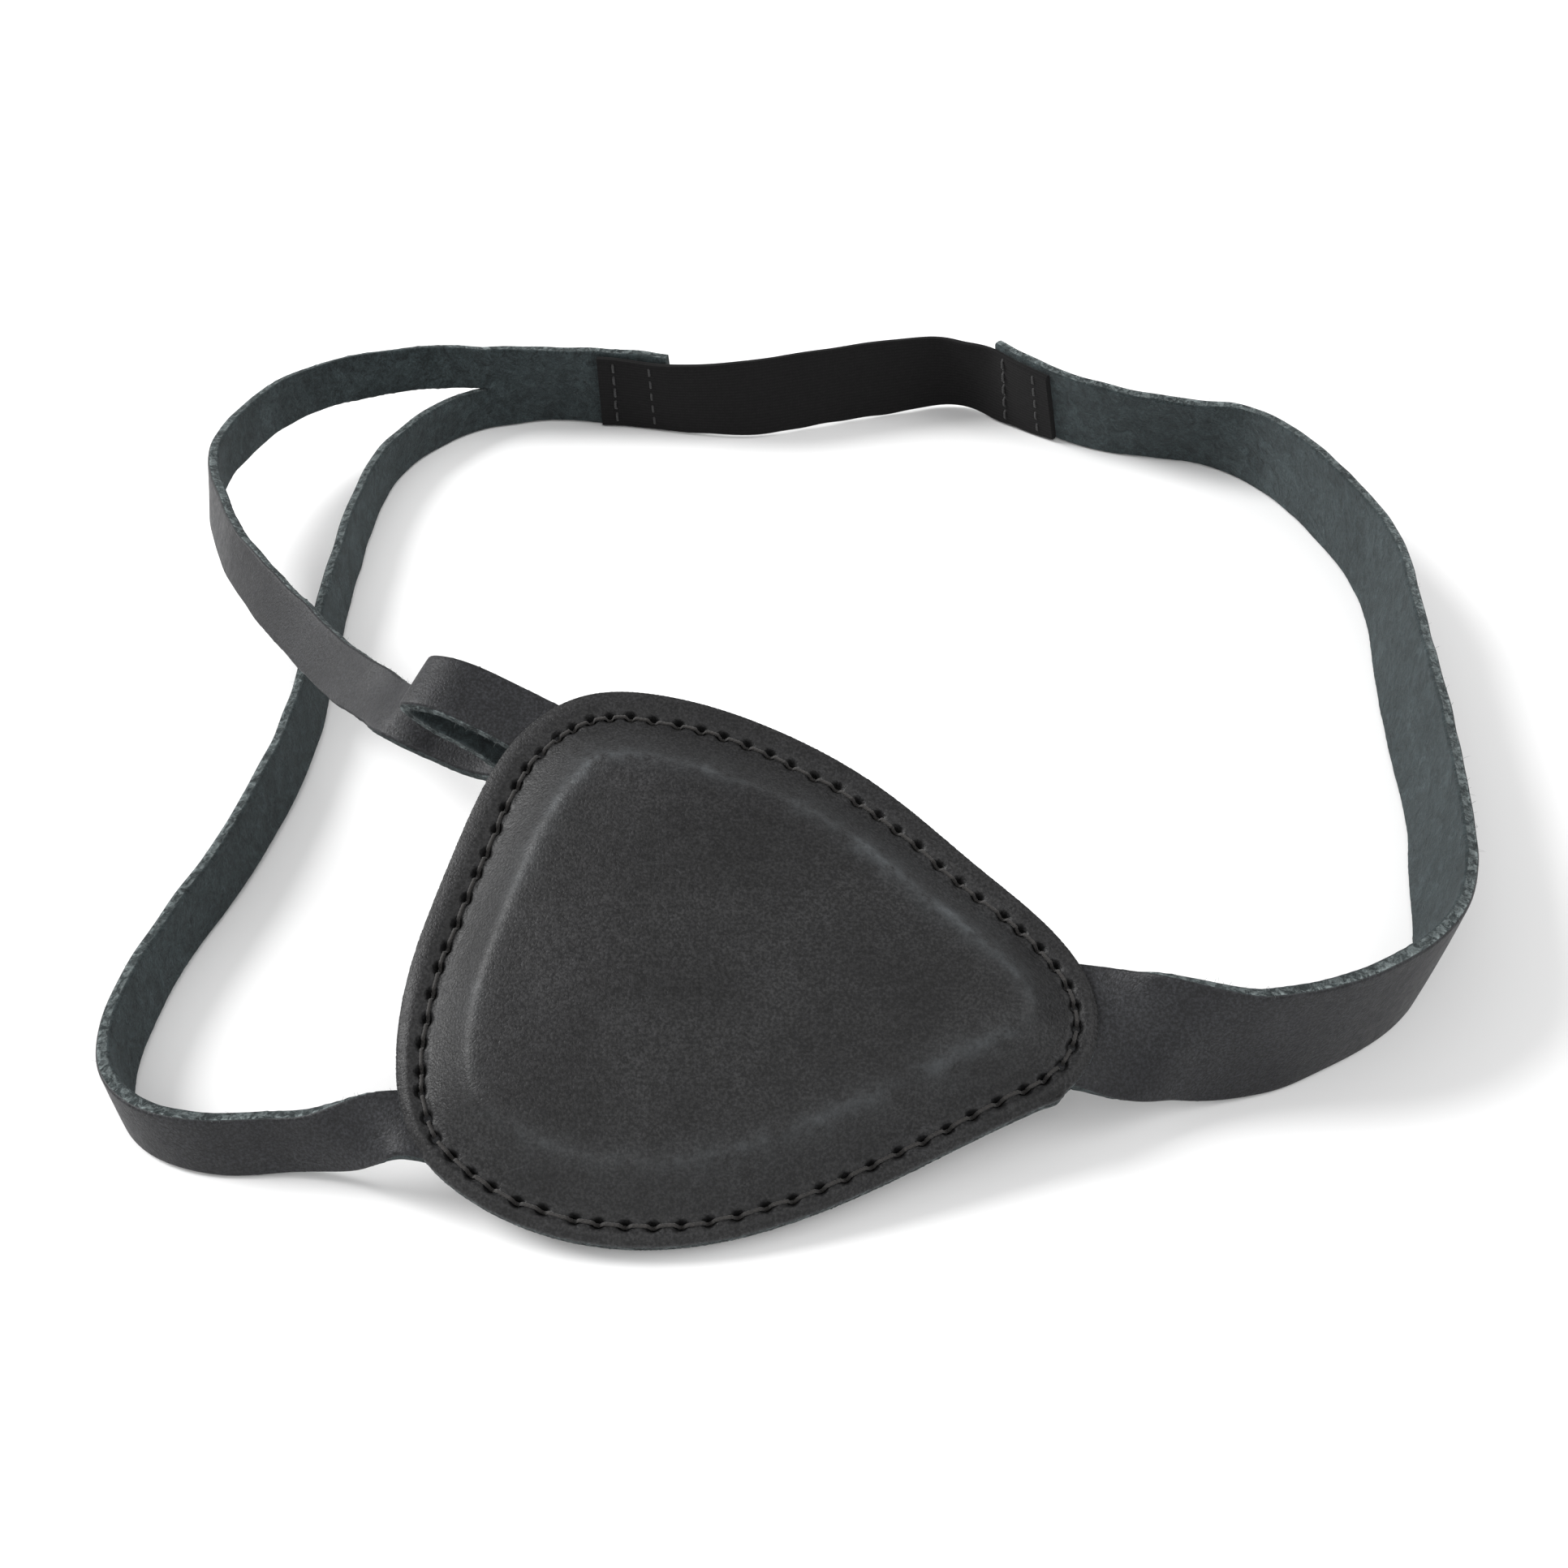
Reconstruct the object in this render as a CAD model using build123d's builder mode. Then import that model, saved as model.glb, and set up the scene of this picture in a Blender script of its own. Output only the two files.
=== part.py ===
from build123d import *
from math import cos, sin, radians, hypot
import os

# Leather eye patch on a head strap, standing on a table as it is put down after use.
# Millimetres, +Z up, the table is Z = 0.  The patch is at the front (-Y), the elastic at
# the back (+Y).  The origin is on the table, under the middle of the whole object.

# ---- driving dimensions -----------------------------------------------------------------
STRAP_WIDTH = 13.5
SLIT_WIDTH = 0.2
BRANCH_WIDTH = (STRAP_WIDTH - SLIT_WIDTH) / 2
LEATHER = 1.5                     # shell and straps
LINING = 1.2
ELASTIC_WIDTH = 12.5
ELASTIC_THICKNESS = 1.0
LAP = 11.5                        # elastic sewn to each leather end over this length
LAP_GAP = 0.15                    # elastic to leather in a lap
SECTION_STEP = 3.0                # between two cross-sections of a strap
FOLD_STEP = 0.8                   # and in its tight folds

PATCH_TILT = 64.0                 # elevation of the patch's outward normal
PATCH_YAW = 4.0                   # turn of that normal towards +X
PATCH_CENTRE = (-4.3, -62.7, 14.0)
TAB_DEPTH = 3.4                   # strap ends inside the rim
TAB_FIT = 0.05                    # room round them

STITCH_INSET = 2.5                # stitch line to the rim's edge
STITCH_COUNT = 72
STITCH_COVER = 0.62               # share of the pitch that lies on the surface
THREAD = 0.45
THREAD_LIFT = 0.03                # thread to the face that it lies on
LAP_STITCHES = 5                  # stitches across the strap in each row
LAP_ROWS = (2.6, 8.9)             # rows' distances from the leather's end

FLEX_AT = 16.0                    # the right strap flexes this far from the rim
FLEX_GAP = 0.3

# Dome of the shell's outside: inset from the rim's edge and height above the interface
# between shell and lining, then the plateau as shares of the last inset outline.
DOME_WALL = [(3.1, 1.0), (3.6, 2.2), (5.2, 4.2), (6.9, 5.2)]
DOME_PLATEAU = [(0.72, 6.0), (0.38, 6.4)]
SHELL_WALL = 1.4                  # horizontal thickness of the dome's wall
LINING_WALL = 1.1
DOME_GAP = 0.35                   # shell to lining, inside the dome

# Strap ends at the rim: place in the patch's plane and heading out of the patch, degrees.
RIGHT_EXIT = (31.4, -9.7, -12.0)
LOWER_EXIT = (-32.6, -16.2, 170.0)
UPPER_EXIT = (-20.9, 26.3, 152.0)

# Outline of the patch in its own plane, anticlockwise.
OUTLINE = [
    (-33.7, -10.0), (-31.8, -18.5), (-26.5, -23.9), (-18.5, -27.8), (-9.0, -29.2),
    (2.0, -27.6), (13.0, -23.7), (24.0, -19.0), (31.2, -15.0), (33.8, -8.6),
    (31.6, -1.8), (24.0, 7.1), (14.5, 17.0), (4.0, 24.3), (-7.0, 28.7),
    (-15.6, 29.0), (-21.8, 25.0), (-25.8, 18.5), (-29.3, 9.5), (-32.4, 0.0),
]

# Middle lines of the straps: x, y, height of the lower edge, outward lean in degrees.
RIGHT_LINE = [
    (34.0, -69.9, 2.9, -37), (38.0, -69.7, 1.6, -17), (43.0, -69.1, 0.4, -3),
    (49.0, -67.8, 0.0, 3), (55.0, -65.2, 0.0, 8), (61.0, -61.3, 0.0, 10),
    (66.8, -55.3, 0.0, 12), (70.5, -46.5, 0.0, 14), (72.7, -35.5, 0.0, 13),
    (74.7, -25.0, 0.0, 10), (76.3, -11.0, 0.0, 11), (78.1, 4.0, 0.0, 10),
    (79.9, 18.0, 0.0, 7), (79.9, 31.0, 0.0, 0), (77.8, 42.5, 0.0, -4),
    (74.5, 53.0, 0.0, -7), (70.3, 61.2, 0.0, -13), (63.5, 66.6, 0.0, -24),
    (56.0, 69.1, 0.0, -24), (49.5, 71.5, 0.0, -21), (44.5, 74.7, 0.0, -18),
    (40.0, 78.7, 0.0, -15), (36.5, 82.2, 0.0, -11), (34.0, 85.0, 0.0, -8),
]
LEFT_LINE = [
    (-18.3, 80.6, 0.0, -12), (-25.5, 82.4, 0.0, -11), (-31.7, 83.0, 0.0, -11),
    (-38.3, 83.5, 0.0, -12), (-43.5, 82.9, 0.0, -6), (-47.5, 82.0, 0.0, -2),
]
LOWER_LINE = [
    (-50.8, 80.0, 0.0, 0), (-54.3, 76.2, 0.0, 0), (-57.7, 70.4, 0.0, -2),
    (-60.2, 63.5, 0.0, 0), (-61.5, 55.5, 0.0, 4), (-61.9, 45.0, 0.0, 8),
    (-61.8, 32.0, 0.0, 10), (-61.3, 18.0, 0.0, 12), (-60.5, 4.0, 0.0, 15),
    (-60.1, -8.8, 0.0, 17), (-60.9, -21.0, 0.0, 16), (-62.7, -34.0, 0.0, 12),
    (-65.1, -44.5, 0.0, 8), (-67.1, -55.0, 0.0, 11), (-67.5, -64.5, 0.0, 14),
    (-65.8, -72.0, 0.0, 9), (-60.9, -76.9, 0.0, 1), (-55.0, -78.6, 0.0, -6),
    (-49.0, -78.6, 0.1, -7), (-44.0, -79.1, 1.0, -10), (-40.5, -79.5, 2.6, -32),
]
UPPER_LINE = [
    (-53.0, 82.2, 6.9, 6), (-59.5, 80.8, 7.0, 14), (-65.5, 78.0, 7.3, 16),
    (-71.5, 73.3, 7.6, 14), (-76.1, 67.2, 7.9, 11), (-79.1, 59.0, 8.1, 7),
    (-80.8, 48.5, 8.5, 3), (-80.2, 39.0, 8.6, -6), (-77.5, 30.5, 8.7, -14),
    (-72.9, 19.4, 8.9, -19), (-67.0, 9.3, 9.1, -30), (-60.9, 0.0, 9.4, -36),
    (-55.0, -8.8, 10.0, -39), (-49.8, -17.0, 12.3, -46), (-45.0, -24.6, 15.1, -56),
    (-41.7, -30.5, 17.7, -62),
]
# Folds of the upper branch before it enters the rim, in the plane across its width:
# distance along its heading into the patch, height above the interface.
FOLD_LINE = [
    (-12.5, -10.4), (-6.5, -10.0), (-3.7, -8.9), (-2.5, -7.0), (-3.9, -5.4),
    (-8.8, -3.6), (-12.2, -2.4), (-13.4, -1.0), (-11.9, 0.5), (-7.5, 1.2),
    (-4.0, 0.7), (0.0, 0.0), (TAB_DEPTH, 0.0),
]
ELASTIC_LINE = [
    (28.7, 87.5, 0.3, -14), (24.7, 88.5, 0.3, -8), (20.5, 87.7, 0.3, -2),
    (12.5, 85.1, 0.3, 1), (4.4, 82.2, 0.3, 2), (-3.2, 79.4, 0.3, 2),
    (-8.5, 78.3, 0.3, -3),
]


# ---- curves -----------------------------------------------------------------------------
def spline(knots, values):
    """Natural cubic spline through the values at the knots, as a function."""
    last = len(knots) - 1
    gap = [knots[i + 1] - knots[i] for i in range(last)]
    slope = [(values[i + 1] - values[i]) / gap[i] for i in range(last)]
    bend = [0.0] * (last + 1)
    upper = [0.0] * (last + 1)
    for i in range(1, last):
        pivot = 2 * (gap[i - 1] + gap[i]) - gap[i - 1] * upper[i - 1]
        upper[i] = gap[i] / pivot
        bend[i] = (6 * (slope[i] - slope[i - 1]) - gap[i - 1] * bend[i - 1]) / pivot
    for i in range(last - 1, 0, -1):
        bend[i] -= upper[i] * bend[i + 1]

    def value(at):
        i = 0
        while i < last - 1 and at > knots[i + 1]:
            i += 1
        left = at - knots[i]
        right = knots[i + 1] - at
        cubic = (bend[i] * right**3 + bend[i + 1] * left**3) / (6 * gap[i])
        linear_right = (values[i] / gap[i] - bend[i] * gap[i] / 6) * right
        linear_left = (values[i + 1] / gap[i] - bend[i + 1] * gap[i] / 6) * left
        return cubic + linear_right + linear_left

    return value


class Line:
    """A strap's middle line, with a plane across the strap at any distance along it."""

    def __init__(self, rows, width, thickness):
        self.width = width
        self.thickness = thickness
        points = [Vector(x, y, lift + self.half_height(lean)) for x, y, lift, lean in rows]
        self.knots = [0.0]
        for before, after in zip(points, points[1:]):
            self.knots.append(self.knots[-1] + (after - before).length)
        self.length = self.knots[-1]
        self.curves = [spline(self.knots, list(column)) for column in zip(*rows)]

    def half_height(self, lean):
        tilt = radians(abs(lean))
        return self.width / 2 * cos(tilt) + self.thickness / 2 * sin(tilt)

    def point(self, at):
        x, y, lift, lean = [curve(at) for curve in self.curves]
        return Vector(x, y, max(lift, 0.0) + self.half_height(lean))

    def plane(self, at):
        """X is the grain side's normal, Y runs down across the strap, Z runs along it."""
        step = 0.05
        along = (self.point(at + step) - self.point(at - step)).normalized()
        outward = Vector(along.Y, -along.X, 0).normalized()
        across = outward.cross(along)
        lean = radians(self.curves[3](at))
        return Plane(self.point(at), x_dir=outward * cos(lean) - across * sin(lean), z_dir=along)

    def planes(self, start=0.0, end=None):
        end = self.length if end is None else end
        count = max(2, round(abs(end - start) / SECTION_STEP))
        return [self.plane(start + (end - start) * i / count) for i in range(count + 1)]


def beside(plane, side, across=0.0):
    """The plane moved off the strap's face by side, and across the strap."""
    return Plane(plane.from_local_coords(Vector(side, across, 0)), plane.x_dir, plane.z_dir)


def row_at(plane, line):
    """The row of a middle line that makes a section stand in this plane."""
    outward = Vector(plane.z_dir.Y, -plane.z_dir.X, 0).normalized()
    lean = -plane.x_dir.get_angle(outward)
    return (plane.origin.X, plane.origin.Y, plane.origin.Z - line.half_height(lean), lean)


# ---- the patch's own frame: X to its right, Y up its face, Z out of it ------------------
tilt = radians(PATCH_TILT)
yaw = radians(PATCH_YAW)
normal = Vector(sin(yaw) * cos(tilt), -cos(yaw) * cos(tilt), sin(tilt))
patch = Plane(PATCH_CENTRE, x_dir=(cos(yaw), sin(yaw), 0), z_dir=normal)


def exit_plane(place, out, into=False):
    """Section of a strap end that lies in the patch, this far out of the rim, Z out or in."""
    a, b, heading = place
    along = Vector(cos(radians(heading)), sin(radians(heading)), 0)
    origin = patch.from_local_coords(Vector(a, b, 0) + along * out)
    ahead = patch.from_local_coords(Vector(a, b, 0) + along * (out + 1)) - origin
    return Plane(origin, x_dir=patch.z_dir, z_dir=-ahead if into else ahead)


def inset_outline(inset, share=1.0):
    """Points of the outline moved in by the inset, then drawn towards the middle."""
    points = []
    for i, (x, y) in enumerate(OUTLINE):
        before = OUTLINE[i - 1]
        after = OUTLINE[(i + 1) % len(OUTLINE)]
        dx = after[0] - before[0]
        dy = after[1] - before[1]
        size = hypot(dx, dy)
        points.append((share * (x - inset * dy / size), share * (y + inset * dx / size)))
    return points


def outline_sketch(height, inset=0.0, share=1.0):
    with BuildSketch(patch.offset(height)) as face:
        with BuildLine():
            Spline(*inset_outline(inset, share), periodic=True)
        make_face()
    return face.sketch


def dome(inward, down, foot):
    """The dome's solid, drawn in by inward and lowered by down, standing at height foot."""
    last = DOME_WALL[-1][0] + 0.6 * inward
    rings = [outline_sketch(foot, DOME_WALL[0][0] + inward)]
    for i, (inset, height) in enumerate(DOME_WALL[1:]):
        ease = 1.0 - 0.4 * (i + 1) / (len(DOME_WALL) - 1)
        rings.append(outline_sketch(height - down, inset + ease * inward))
    for share, height in DOME_PLATEAU:
        rings.append(outline_sketch(height - down, last, share))
    with BuildPart() as solid:
        loft(sections=rings, ruled=True)
    return solid.part


def strap_solid(planes, width, thickness):
    with BuildPart() as solid:
        for plane in planes:
            with BuildSketch(plane):
                Rectangle(thickness, width)
        loft(ruled=True)
    return solid.part


def tab_slot(place, width):
    """Room for a strap's end between shell and lining."""
    with BuildPart() as slot:
        with BuildSketch(exit_plane(place, 4.0)):
            Rectangle(LEATHER + 2 * TAB_FIT, width + 2 * TAB_FIT)
        extrude(amount=-(TAB_DEPTH + TAB_FIT + 4.0))
    return slot.part


# ---- middle lines -----------------------------------------------------------------------
def end_rows(place, outs, line, into=False):
    """Rows of a middle line that lie in the patch, at these distances out of the rim."""
    return [row_at(exit_plane(place, out, into), line) for out in outs]


any_rows = [(0, 0, 0, 0), (1, 0, 0, 0)]
wide_section = Line(any_rows, STRAP_WIDTH, LEATHER)
branch_section = Line(any_rows, BRANCH_WIDTH, LEATHER)
elastic_section = Line(any_rows, ELASTIC_WIDTH, ELASTIC_THICKNESS)

right_rows = end_rows(RIGHT_EXIT, (-TAB_DEPTH, 0.8), wide_section)
right_line = Line(right_rows + RIGHT_LINE, STRAP_WIDTH, LEATHER)
left_line = Line(LEFT_LINE, STRAP_WIDTH, LEATHER)

fork = left_line.plane(left_line.length)
branch_offset = (STRAP_WIDTH - BRANCH_WIDTH) / 2
fork_x, fork_y, fork_lift, fork_lean = LEFT_LINE[-1]
lower_rows = [(fork_x, fork_y, fork_lift, fork_lean)] + LOWER_LINE
lower_rows += end_rows(LOWER_EXIT, (0.8, -TAB_DEPTH), branch_section, into=True)
lower_line = Line(lower_rows, BRANCH_WIDTH, LEATHER)

fold_frame = exit_plane(UPPER_EXIT, 0.0, into=True)
fold_knots = [0.0]
for before, after in zip(FOLD_LINE, FOLD_LINE[1:]):
    fold_knots.append(fold_knots[-1] + hypot(after[0] - before[0], after[1] - before[1]))
fold_along = spline(fold_knots, [a for a, b in FOLD_LINE])
fold_height = spline(fold_knots, [b for a, b in FOLD_LINE])


def fold_plane(at):
    """Section of the folded stretch, at this distance along it."""
    step = 0.02
    run = fold_along(at + step) - fold_along(at - step)
    rise = fold_height(at + step) - fold_height(at - step)
    heading = fold_frame.z_dir
    face = fold_frame.x_dir
    origin = fold_frame.origin + heading * fold_along(at) + face * fold_height(at)
    return Plane(origin, x_dir=face * run - heading * rise, z_dir=heading * run + face * rise)


upper_rows = [(fork_x, fork_y, 2 * branch_offset, fork_lean)] + UPPER_LINE
upper_rows.append(row_at(fold_plane(0.0), branch_section))
upper_line = Line(upper_rows, BRANCH_WIDTH, LEATHER)

lap_side = -(LEATHER + ELASTIC_THICKNESS) / 2 - LAP_GAP
lap_drop = 0.2                    # middle of the elastic below the middle of the leather


def lap_rows(line, start, end):
    """Rows of the elastic where it is sewn behind the leather."""
    count = 4
    places = [start + (end - start) * i / (count - 1) for i in range(count)]
    return [row_at(beside(line.plane(at), lap_side, lap_drop), elastic_section) for at in places]


elastic_rows = lap_rows(right_line, right_line.length - LAP, right_line.length) + ELASTIC_LINE
elastic_rows += lap_rows(left_line, 0.0, LAP)
elastic_line = Line(elastic_rows, ELASTIC_WIDTH, ELASTIC_THICKNESS)

# ---- leather straps and elastic ---------------------------------------------------------
flex = TAB_DEPTH + FLEX_AT
root_planes = right_line.planes(0.0, flex - FLEX_GAP / 2)
free_planes = right_line.planes(flex + FLEX_GAP / 2)
right_root_solid = strap_solid(root_planes, STRAP_WIDTH, LEATHER)
right_free_solid = strap_solid(free_planes, STRAP_WIDTH, LEATHER)

with BuildPart() as right_strap_root:
    add(right_root_solid)

with BuildPart() as right_strap:
    add(right_free_solid)

lower_planes = [beside(fork, 0.0, branch_offset)] + lower_line.planes()[1:]
fold_steps = round(fold_knots[-1] / FOLD_STEP)
fold_planes = [fold_plane(fold_knots[-1] * i / fold_steps) for i in range(fold_steps + 1)]
upper_planes = [beside(fork, 0.0, -branch_offset)] + upper_line.planes()[1:-1] + fold_planes
wide_solid = strap_solid(left_line.planes(), STRAP_WIDTH, LEATHER)
lower_solid = strap_solid(lower_planes, BRANCH_WIDTH, LEATHER)
upper_solid = strap_solid(upper_planes, BRANCH_WIDTH, LEATHER)

with BuildPart() as left_strap:
    add(wide_solid)
    add(lower_solid)
    add(upper_solid)

elastic_solid = strap_solid(elastic_line.planes(), ELASTIC_WIDTH, ELASTIC_THICKNESS)

with BuildPart() as elastic_band:
    add(elastic_solid)

# ---- shell and lining -------------------------------------------------------------------
strap_room = [
    tab_slot(RIGHT_EXIT, STRAP_WIDTH),
    tab_slot(LOWER_EXIT, BRANCH_WIDTH),
    tab_slot(UPPER_EXIT, BRANCH_WIDTH),
    right_root_solid,
    lower_solid,
    upper_solid,
]
shell_outside = dome(0.0, 0.0, 1.0)
shell_inside = dome(SHELL_WALL, LEATHER, -1.0)
lining_outside = dome(SHELL_WALL + DOME_GAP, LEATHER + DOME_GAP, -0.5)
lining_inside = dome(SHELL_WALL + DOME_GAP + LINING_WALL, LEATHER + DOME_GAP + LINING, -LINING - 1.0)

with BuildPart() as front_shell:
    add(outline_sketch(0.0))
    extrude(amount=LEATHER)
    add(shell_outside)
    add(shell_inside, mode=Mode.SUBTRACT)
    for room in strap_room:
        add(room, mode=Mode.SUBTRACT)

with BuildPart() as back_lining:
    add(outline_sketch(0.0))
    extrude(amount=-LINING)
    add(lining_outside)
    add(lining_inside, mode=Mode.SUBTRACT)
    for room in strap_room:
        add(room, mode=Mode.SUBTRACT)

# ---- threads ----------------------------------------------------------------------------
with BuildLine(patch) as seam:
    Spline(*inset_outline(STITCH_INSET), periodic=True)
seam_edge = seam.edges()[0]
pitch = seam_edge.length / STITCH_COUNT


def seam_planes(height):
    """One plane per stitch, X along the seam, at this height above the interface."""
    planes = []
    for i in range(STITCH_COUNT):
        at = i * pitch
        point = seam_edge.position_at(at, position_mode=PositionMode.LENGTH)
        along = seam_edge.tangent_at(at, position_mode=PositionMode.LENGTH)
        planes.append(Plane(point + normal * height, x_dir=along, z_dir=normal))
    return planes


thread_rise = THREAD / 2 + THREAD_LIFT

with BuildPart() as shell_thread:
    with Locations(*seam_planes(LEATHER + thread_rise)):
        Cylinder(THREAD / 2, pitch * STITCH_COVER, rotation=(0, 90, 0))

with BuildPart() as lining_thread:
    with Locations(*seam_planes(-LINING - thread_rise)):
        Cylinder(THREAD / 2, pitch * STITCH_COVER, rotation=(0, 90, 0))


def lap_planes(line, places, side):
    """One plane per stitch of the rows across a lap, Y across the strap."""
    across = ELASTIC_WIDTH / LAP_STITCHES
    middle = (LAP_STITCHES - 1) / 2
    planes = []
    for at in places:
        for i in range(LAP_STITCHES):
            planes.append(beside(line.plane(at), side, (i - middle) * across))
    return planes


outer_side = LEATHER / 2 + thread_rise
inner_side = lap_side - ELASTIC_THICKNESS / 2 - thread_rise - LAP_GAP
lap_stitch = ELASTIC_WIDTH / LAP_STITCHES * STITCH_COVER
right_places = [right_line.length - row for row in LAP_ROWS]
lap_threads = {
    "right_lap_outer_thread": lap_planes(right_line, right_places, outer_side),
    "right_lap_inner_thread": lap_planes(right_line, right_places, inner_side),
    "left_lap_outer_thread": lap_planes(left_line, LAP_ROWS, outer_side),
    "left_lap_inner_thread": lap_planes(left_line, LAP_ROWS, inner_side),
}

# ---- write the pieces -------------------------------------------------------------------
os.makedirs("parts", exist_ok=True)
for name, planes in lap_threads.items():
    with BuildPart() as lap_thread:
        with Locations(*planes):
            Cylinder(THREAD / 2, lap_stitch, rotation=(90, 0, 0))
    lap_thread.part.label = name
    export_step(lap_thread.part, f"parts/{name}.step")

front_shell.part.label = "front_shell"
export_step(front_shell.part, "parts/front_shell.step")
back_lining.part.label = "back_lining"
export_step(back_lining.part, "parts/back_lining.step")
right_strap_root.part.label = "right_strap_root"
export_step(right_strap_root.part, "parts/right_strap_root.step")
right_strap.part.label = "right_strap"
export_step(right_strap.part, "parts/right_strap.step")
left_strap.part.label = "left_strap"
export_step(left_strap.part, "parts/left_strap.step")
elastic_band.part.label = "elastic_band"
export_step(elastic_band.part, "parts/elastic_band.step")
shell_thread.part.label = "shell_thread"
export_step(shell_thread.part, "parts/shell_thread.step")
lining_thread.part.label = "lining_thread"
export_step(lining_thread.part, "parts/lining_thread.step")

# A strap's volume against its section times its length.
for name, part, area, length in (
    ("right_strap_root", right_strap_root.part, STRAP_WIDTH * LEATHER, flex),
    ("right_strap", right_strap.part, STRAP_WIDTH * LEATHER, right_line.length - flex),
    ("elastic_band", elastic_band.part, ELASTIC_WIDTH * ELASTIC_THICKNESS, elastic_line.length),
    ("lower branch", lower_solid, BRANCH_WIDTH * LEATHER, lower_line.length),
    ("upper branch", upper_solid, BRANCH_WIDTH * LEATHER, upper_line.length + fold_knots[-1]),
):
    print(f"{name}: length {length:.1f}, volume {part.volume:.1f}, area x length {area * length:.1f}")
flex_plane = right_line.plane(flex)
print("flex axis at", [round(value, 2) for value in flex_plane.origin])
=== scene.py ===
import math

import bpy
import numpy as np
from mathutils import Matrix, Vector


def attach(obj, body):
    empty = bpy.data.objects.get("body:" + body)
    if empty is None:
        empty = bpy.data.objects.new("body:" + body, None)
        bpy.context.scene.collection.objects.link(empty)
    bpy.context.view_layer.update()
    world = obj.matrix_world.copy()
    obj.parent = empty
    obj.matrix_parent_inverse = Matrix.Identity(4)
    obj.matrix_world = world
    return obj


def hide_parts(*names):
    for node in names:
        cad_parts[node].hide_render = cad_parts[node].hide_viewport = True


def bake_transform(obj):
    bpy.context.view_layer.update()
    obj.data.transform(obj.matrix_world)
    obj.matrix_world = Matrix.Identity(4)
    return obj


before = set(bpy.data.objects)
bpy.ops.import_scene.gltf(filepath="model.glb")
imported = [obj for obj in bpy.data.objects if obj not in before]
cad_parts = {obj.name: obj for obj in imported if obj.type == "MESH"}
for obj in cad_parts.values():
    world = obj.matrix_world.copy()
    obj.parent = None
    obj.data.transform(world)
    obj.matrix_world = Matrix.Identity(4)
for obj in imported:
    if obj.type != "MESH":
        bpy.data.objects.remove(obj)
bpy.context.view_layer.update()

# Lengths are in millimetres until a mesh is made: MM turns them into metres.
MM = 0.001

# ---- sizes, as in the CAD ----------------------------------------------------------------
STRAP = 13.5
BRANCH = 6.65
LEATHER = 1.5
LINING = 1.2
ELASTIC = 12.5
ELASTIC_THICK = 1.0
LAP = 11.5                        # elastic sewn to each leather end over this length
LAP_SIDE = -1.4                   # middle of the elastic from the middle of the leather
LAP_ROWS = (2.6, 8.9)             # stitch rows' distances from the leather's end
TAB = 3.4                         # strap ends inside the rim
OUT_OF_RIM = 0.8                  # first point of a strap outside the rim
PATCH_TILT = 64.0                 # elevation of the patch's outward normal, degrees
PATCH_YAW = 4.0
PATCH_CENTRE = (-4.3, -62.7, 14.0)
# Where each strap leaves the patch: place in the patch's plane and heading in degrees.
RIGHT_EXIT = (31.4, -9.7, -12.0)
LOWER_EXIT = (-32.6, -16.2, 170.0)
UPPER_EXIT = (-20.9, 26.3, 152.0)

OUTLINE = [
    (-33.7, -10.0), (-31.8, -18.5), (-26.5, -23.9), (-18.5, -27.8), (-9.0, -29.2),
    (2.0, -27.6), (13.0, -23.7), (24.0, -19.0), (31.2, -15.0), (33.8, -8.6),
    (31.6, -1.8), (24.0, 7.1), (14.5, 17.0), (4.0, 24.3), (-7.0, 28.7),
    (-15.6, 29.0), (-21.8, 25.0), (-25.8, 18.5), (-29.3, 9.5), (-32.4, 0.0),
]
CUT_CORNER = (28.4, -16.9)
# Middle lines of the straps: x, y, height of the lower edge, outward lean in degrees.
RIGHT_LINE = [
    (34.0, -69.9, 2.9, -37), (38.0, -69.7, 1.6, -17), (43.0, -69.1, 0.4, -3),
    (49.0, -67.8, 0.0, 3), (55.0, -65.2, 0.0, 8), (61.0, -61.3, 0.0, 10),
    (66.8, -55.3, 0.0, 12), (70.5, -46.5, 0.0, 14), (72.7, -35.5, 0.0, 13),
    (74.7, -25.0, 0.0, 10), (76.3, -11.0, 0.0, 11), (78.1, 4.0, 0.0, 10),
    (79.9, 18.0, 0.0, 7), (79.9, 31.0, 0.0, 0), (77.8, 42.5, 0.0, -4),
    (74.5, 53.0, 0.0, -7), (70.3, 61.2, 0.0, -13), (63.5, 66.6, 0.0, -24),
    (56.0, 69.1, 0.0, -24), (49.5, 71.5, 0.0, -21), (44.5, 74.7, 0.0, -18),
    (40.0, 78.7, 0.0, -15), (36.5, 82.2, 0.0, -11), (34.0, 85.0, 0.0, -8),
]
LEFT_LINE = [
    (-18.3, 80.6, 0.0, -12), (-25.5, 82.4, 0.0, -11), (-31.7, 83.0, 0.0, -11),
    (-38.3, 83.5, 0.0, -12), (-43.5, 82.9, 0.0, -6), (-47.5, 82.0, 0.0, -2),
]
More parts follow.
